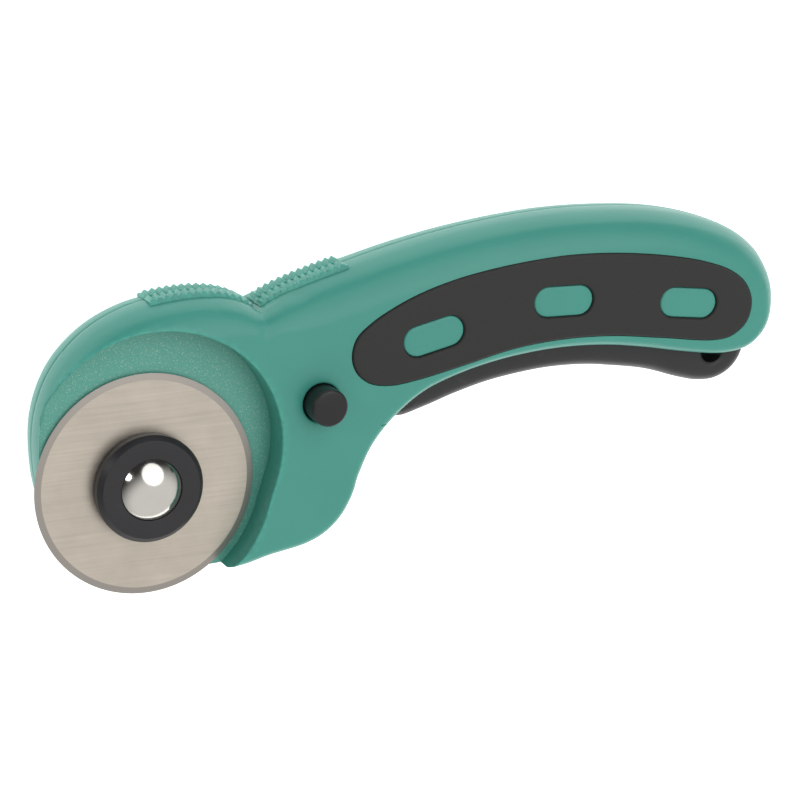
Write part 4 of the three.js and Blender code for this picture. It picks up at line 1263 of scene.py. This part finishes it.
class CUTTER_OT_arm(bpy.types.Operator):
    """Build the blade arm and its two pins"""

    bl_idname = "cutter.arm"
    bl_label = "Blade arm"

    def execute(self, context):
        add_piece("arm_plate", arm_solid(), "blade_arm", "steel")
        add_piece("arm_pin", pin_solid("arm_pivot_pin", ARM_PIN_R, ARM_PIVOT), "arm_pivot_pin", "steel")
        add_piece("link_pin", pin_solid("arm_link_pin", LINK_PIN_R, LINK_AT), "arm_link_pin", "steel")
        return {"FINISHED"}


class CUTTER_OT_blade_stack(bpy.types.Operator):
    """Build the blade, collar, washer and dome bolt"""

    bl_idname = "cutter.blade_stack"
    bl_label = "Blade stack"

    def execute(self, context):
        blade = lathe(blade_profile(), count=256, closed=True)
        add_piece("blade", blade, "rotary_blade", "blade", 2)
        low, high = height_of("blade_collar", False), height_of("blade_collar", True)
        collar = lathe(ring_profile(STACK_BORE_R, 10.75, low, high, 0.15), count=128, closed=True)
        add_piece("collar", collar, "blade_collar", "washer")
        washer = lathe(washer_profile(), count=128, closed=True)
        add_piece("washer", washer, "blade_washer", "washer")
        add_piece("bolt", lathe(bolt_profile()), "blade_bolt", "chrome", 30)
        return {"FINISHED"}


class CUTTER_OT_nut(bpy.types.Operator):
    """Build the knurled nut and the washers behind the arm"""

    bl_idname = "cutter.nut"
    bl_label = "Nut and washers"

    def execute(self, context):
        add_piece("nut", nut_solid(), "blade_nut", "washer", 30)
        low, high = height_of("rear_washer", False), height_of("rear_washer", True)
        plain = lathe(ring_profile(REAR_BORE_R, 7.0, low, high, 0.12), count=72, closed=True)
        add_piece("washer_rear", plain, "rear_washer", "steel")
        low, high = height_of("spring_washer", False), height_of("spring_washer", True)
        radius, thick = 6.2, 0.4
        dished = softened([
            (REAR_BORE_R, high - thick), (radius, low), (radius, low + thick), (REAR_BORE_R, high),
        ], 0.1, True)
        add_piece("washer_spring", lathe(dished, count=72, closed=True), "spring_washer", "steel")
        return {"FINISHED"}


class CUTTER_OT_lock(bpy.types.Operator):
    """Build the lock button and its split ring"""

    bl_idname = "cutter.lock"
    bl_label = "Lock"

    def execute(self, context):
        add_piece("button", lathe(button_profile(), LOCK_AT, 72), "lock_button", "button", 50)
        add_piece("split_ring", detent_solid(), "lock_detent_ring", "steel")
        return {"FINISHED"}


class CUTTER_OT_spring(bpy.types.Operator):
    """Build the lever's return spring"""

    bl_idname = "cutter.spring"
    bl_label = "Return spring"

    def execute(self, context):
        add_piece("spring", spring_solid(), "trigger_return_spring", "steel")
        return {"FINISHED"}


class CUTTER_OT_screws(bpy.types.Operator):
    """Build the four case screws"""

    bl_idname = "cutter.screws"
    bl_label = "Case screws"

    def execute(self, context):
        for node, at in SCREWS.items():
            add_piece("case_" + node, screw_solid(at), node, "steel")
        return {"FINISHED"}


def area_light(name, aim, away, distance, size, watts):
    """A soft round light that faces the aim point from the given direction."""
    light = bpy.data.lights.new(name, "AREA")
    light.shape = "DISK"
    light.size = size
    light.energy = watts
    lamp = bpy.data.objects.new(name, light)
    back = Vector(away).normalized()
    lamp.location = Vector(aim) + back * distance
    lamp.rotation_mode = "QUATERNION"
    lamp.rotation_quaternion = back.to_track_quat("Z", "Y")
    bpy.context.scene.collection.objects.link(lamp)
    return lamp


def studio_floor(width):
    """A square pale floor just under the cutter."""
    half, drop = width / 2, 0.0005
    corners = [(-half, -half, -drop), (half, -half, -drop), (half, half, -drop), (-half, half, -drop)]
    mesh = bpy.data.meshes.new("floor")
    mesh.from_pydata(corners, [], [(0, 1, 2, 3)])
    glow = {"Roughness": 0.9, "Emission Color": (1, 1, 1, 1), "Emission Strength": 0.75}
    look = Look("floor_white", glow)
    tone = look.noise(look.place, 6, 3)
    look.paint(colour=look.mix(tone, (0.90, 0.90, 0.90, 1), (0.93, 0.93, 0.93, 1)))
    mesh.materials.append(look.material)
    floor = bpy.data.objects.new("floor", mesh)
    bpy.context.scene.collection.objects.link(floor)
    return floor


def studio_glow():
    """Surrounding light that is bright above and in front of the cutter and dark low behind it."""
    world = bpy.data.worlds.new("studio")
    world.use_nodes = True
    nodes, links = world.node_tree.nodes, world.node_tree.links
    glow = nodes["Background"]
    glow.inputs["Color"].default_value = (1.0, 0.99, 0.97, 1)
    brightest, dark_below, bright_above, dark, bright = (0.252, -0.605, 0.756), -0.1, 0.7, 0.03, 0.76
    towards = nodes.new("ShaderNodeVectorMath")
    towards.operation = "DOT_PRODUCT"
    towards.inputs[1].default_value = brightest
    place = nodes.new("ShaderNodeTexCoord")
    spread = nodes.new("ShaderNodeMapRange")
    spread.interpolation_type = "SMOOTHSTEP"
    for socket, value in zip(list(spread.inputs)[1:5], (dark_below, bright_above, dark, bright)):
        socket.default_value = value
    links.new(place.outputs["Generated"], towards.inputs[0])
    links.new(towards.outputs["Value"], spread.inputs[0])
    links.new(spread.outputs[0], glow.inputs["Strength"])
    return world


def studio_camera(lens):
    """The camera, set by its right and up directions and its place from the blade's axis, in metres."""
    camera = bpy.data.cameras.new("camera")
    camera.lens = lens
    camera.sensor_width = 36
    view = bpy.data.objects.new("camera", camera)
    right = Vector((0.912, 0.0, 0.411)).normalized()
    up = Vector((0.116, 0.959, -0.257))
    back = right.cross(up).normalized()
    up = back.cross(right)
    spot = Vector(ORIGIN) + Vector((-0.15324, 0.15941, 0.4612))
    view.matrix_world = Matrix.Translation(spot) @ Matrix((right, up, back)).transposed().to_4x4()
    bpy.context.scene.collection.objects.link(view)
    return view


class CUTTER_OT_stage(bpy.types.Operator):
    """Build the floor, the lights, the surrounding glow and the camera"""

    bl_idname = "cutter.stage"
    bl_label = "Stage"

    def execute(self, context):
        scene = context.scene
        floor = studio_floor(scene.cutter_sizes.floor_size)
        aim = (0, 0, 0.01)
        lamps = [
            area_light("softbox", aim, (0.20, 0.56, 0.80), 1.0, 1.15, 4.4),
            area_light("front_panel", aim, (0.30, -0.45, 0.87), 1.2, 1.1, 3.0),
            area_light("left_strip", aim, (-0.80, 0.42, 0.42), 1.0, 0.26, 0.9),
        ]
        lamps[1].visible_glossy = False
        scene.world = studio_glow()
        scene.view_settings.view_transform = "Standard"
        scene.camera = studio_camera(scene.cutter_sizes.lens)
        return {"FINISHED"}


STEPS = (
    "shells", "thumb_ribs", "inlays", "lever", "arm", "blade_stack", "nut", "lock", "spring", "screws",
    "stage",
)


class CUTTER_PT_panel(bpy.types.Panel):
    """Lists the pieces and the values they use"""

    bl_idname = "CUTTER_PT_panel"
    bl_label = "Rotary cutter"
    bl_space_type = "VIEW_3D"
    bl_region_type = "UI"
    bl_category = "Cutter"

    def draw(self, context):
        for group in (context.scene.cutter_sizes, context.scene.cutter_colours):
            for name in group.__annotations__:
                self.layout.prop(group, name)
        for step in STEPS:
            self.layout.operator("cutter." + step)


CLASSES = (
    CutterSizes, CutterColours, CUTTER_OT_shells, CUTTER_OT_thumb_ribs, CUTTER_OT_inlays, CUTTER_OT_lever,
    CUTTER_OT_arm, CUTTER_OT_blade_stack, CUTTER_OT_nut, CUTTER_OT_lock, CUTTER_OT_spring, CUTTER_OT_screws,
    CUTTER_OT_stage, CUTTER_PT_panel,
)


def register():
    """Add the classes and the panel's values."""
    for cls in CLASSES:
        bpy.utils.register_class(cls)
    bpy.types.Scene.cutter_sizes = bpy.props.PointerProperty(type=CutterSizes)
    bpy.types.Scene.cutter_colours = bpy.props.PointerProperty(type=CutterColours)


def unregister():
    """Take them away again."""
    del bpy.types.Scene.cutter_colours
    del bpy.types.Scene.cutter_sizes
    for cls in reversed(CLASSES):
        bpy.utils.unregister_class(cls)


def main():
    """Build every piece and the stage."""
    register()
    for step in STEPS:
        getattr(bpy.ops.cutter, step)()


if __name__ == "__main__":
    main()
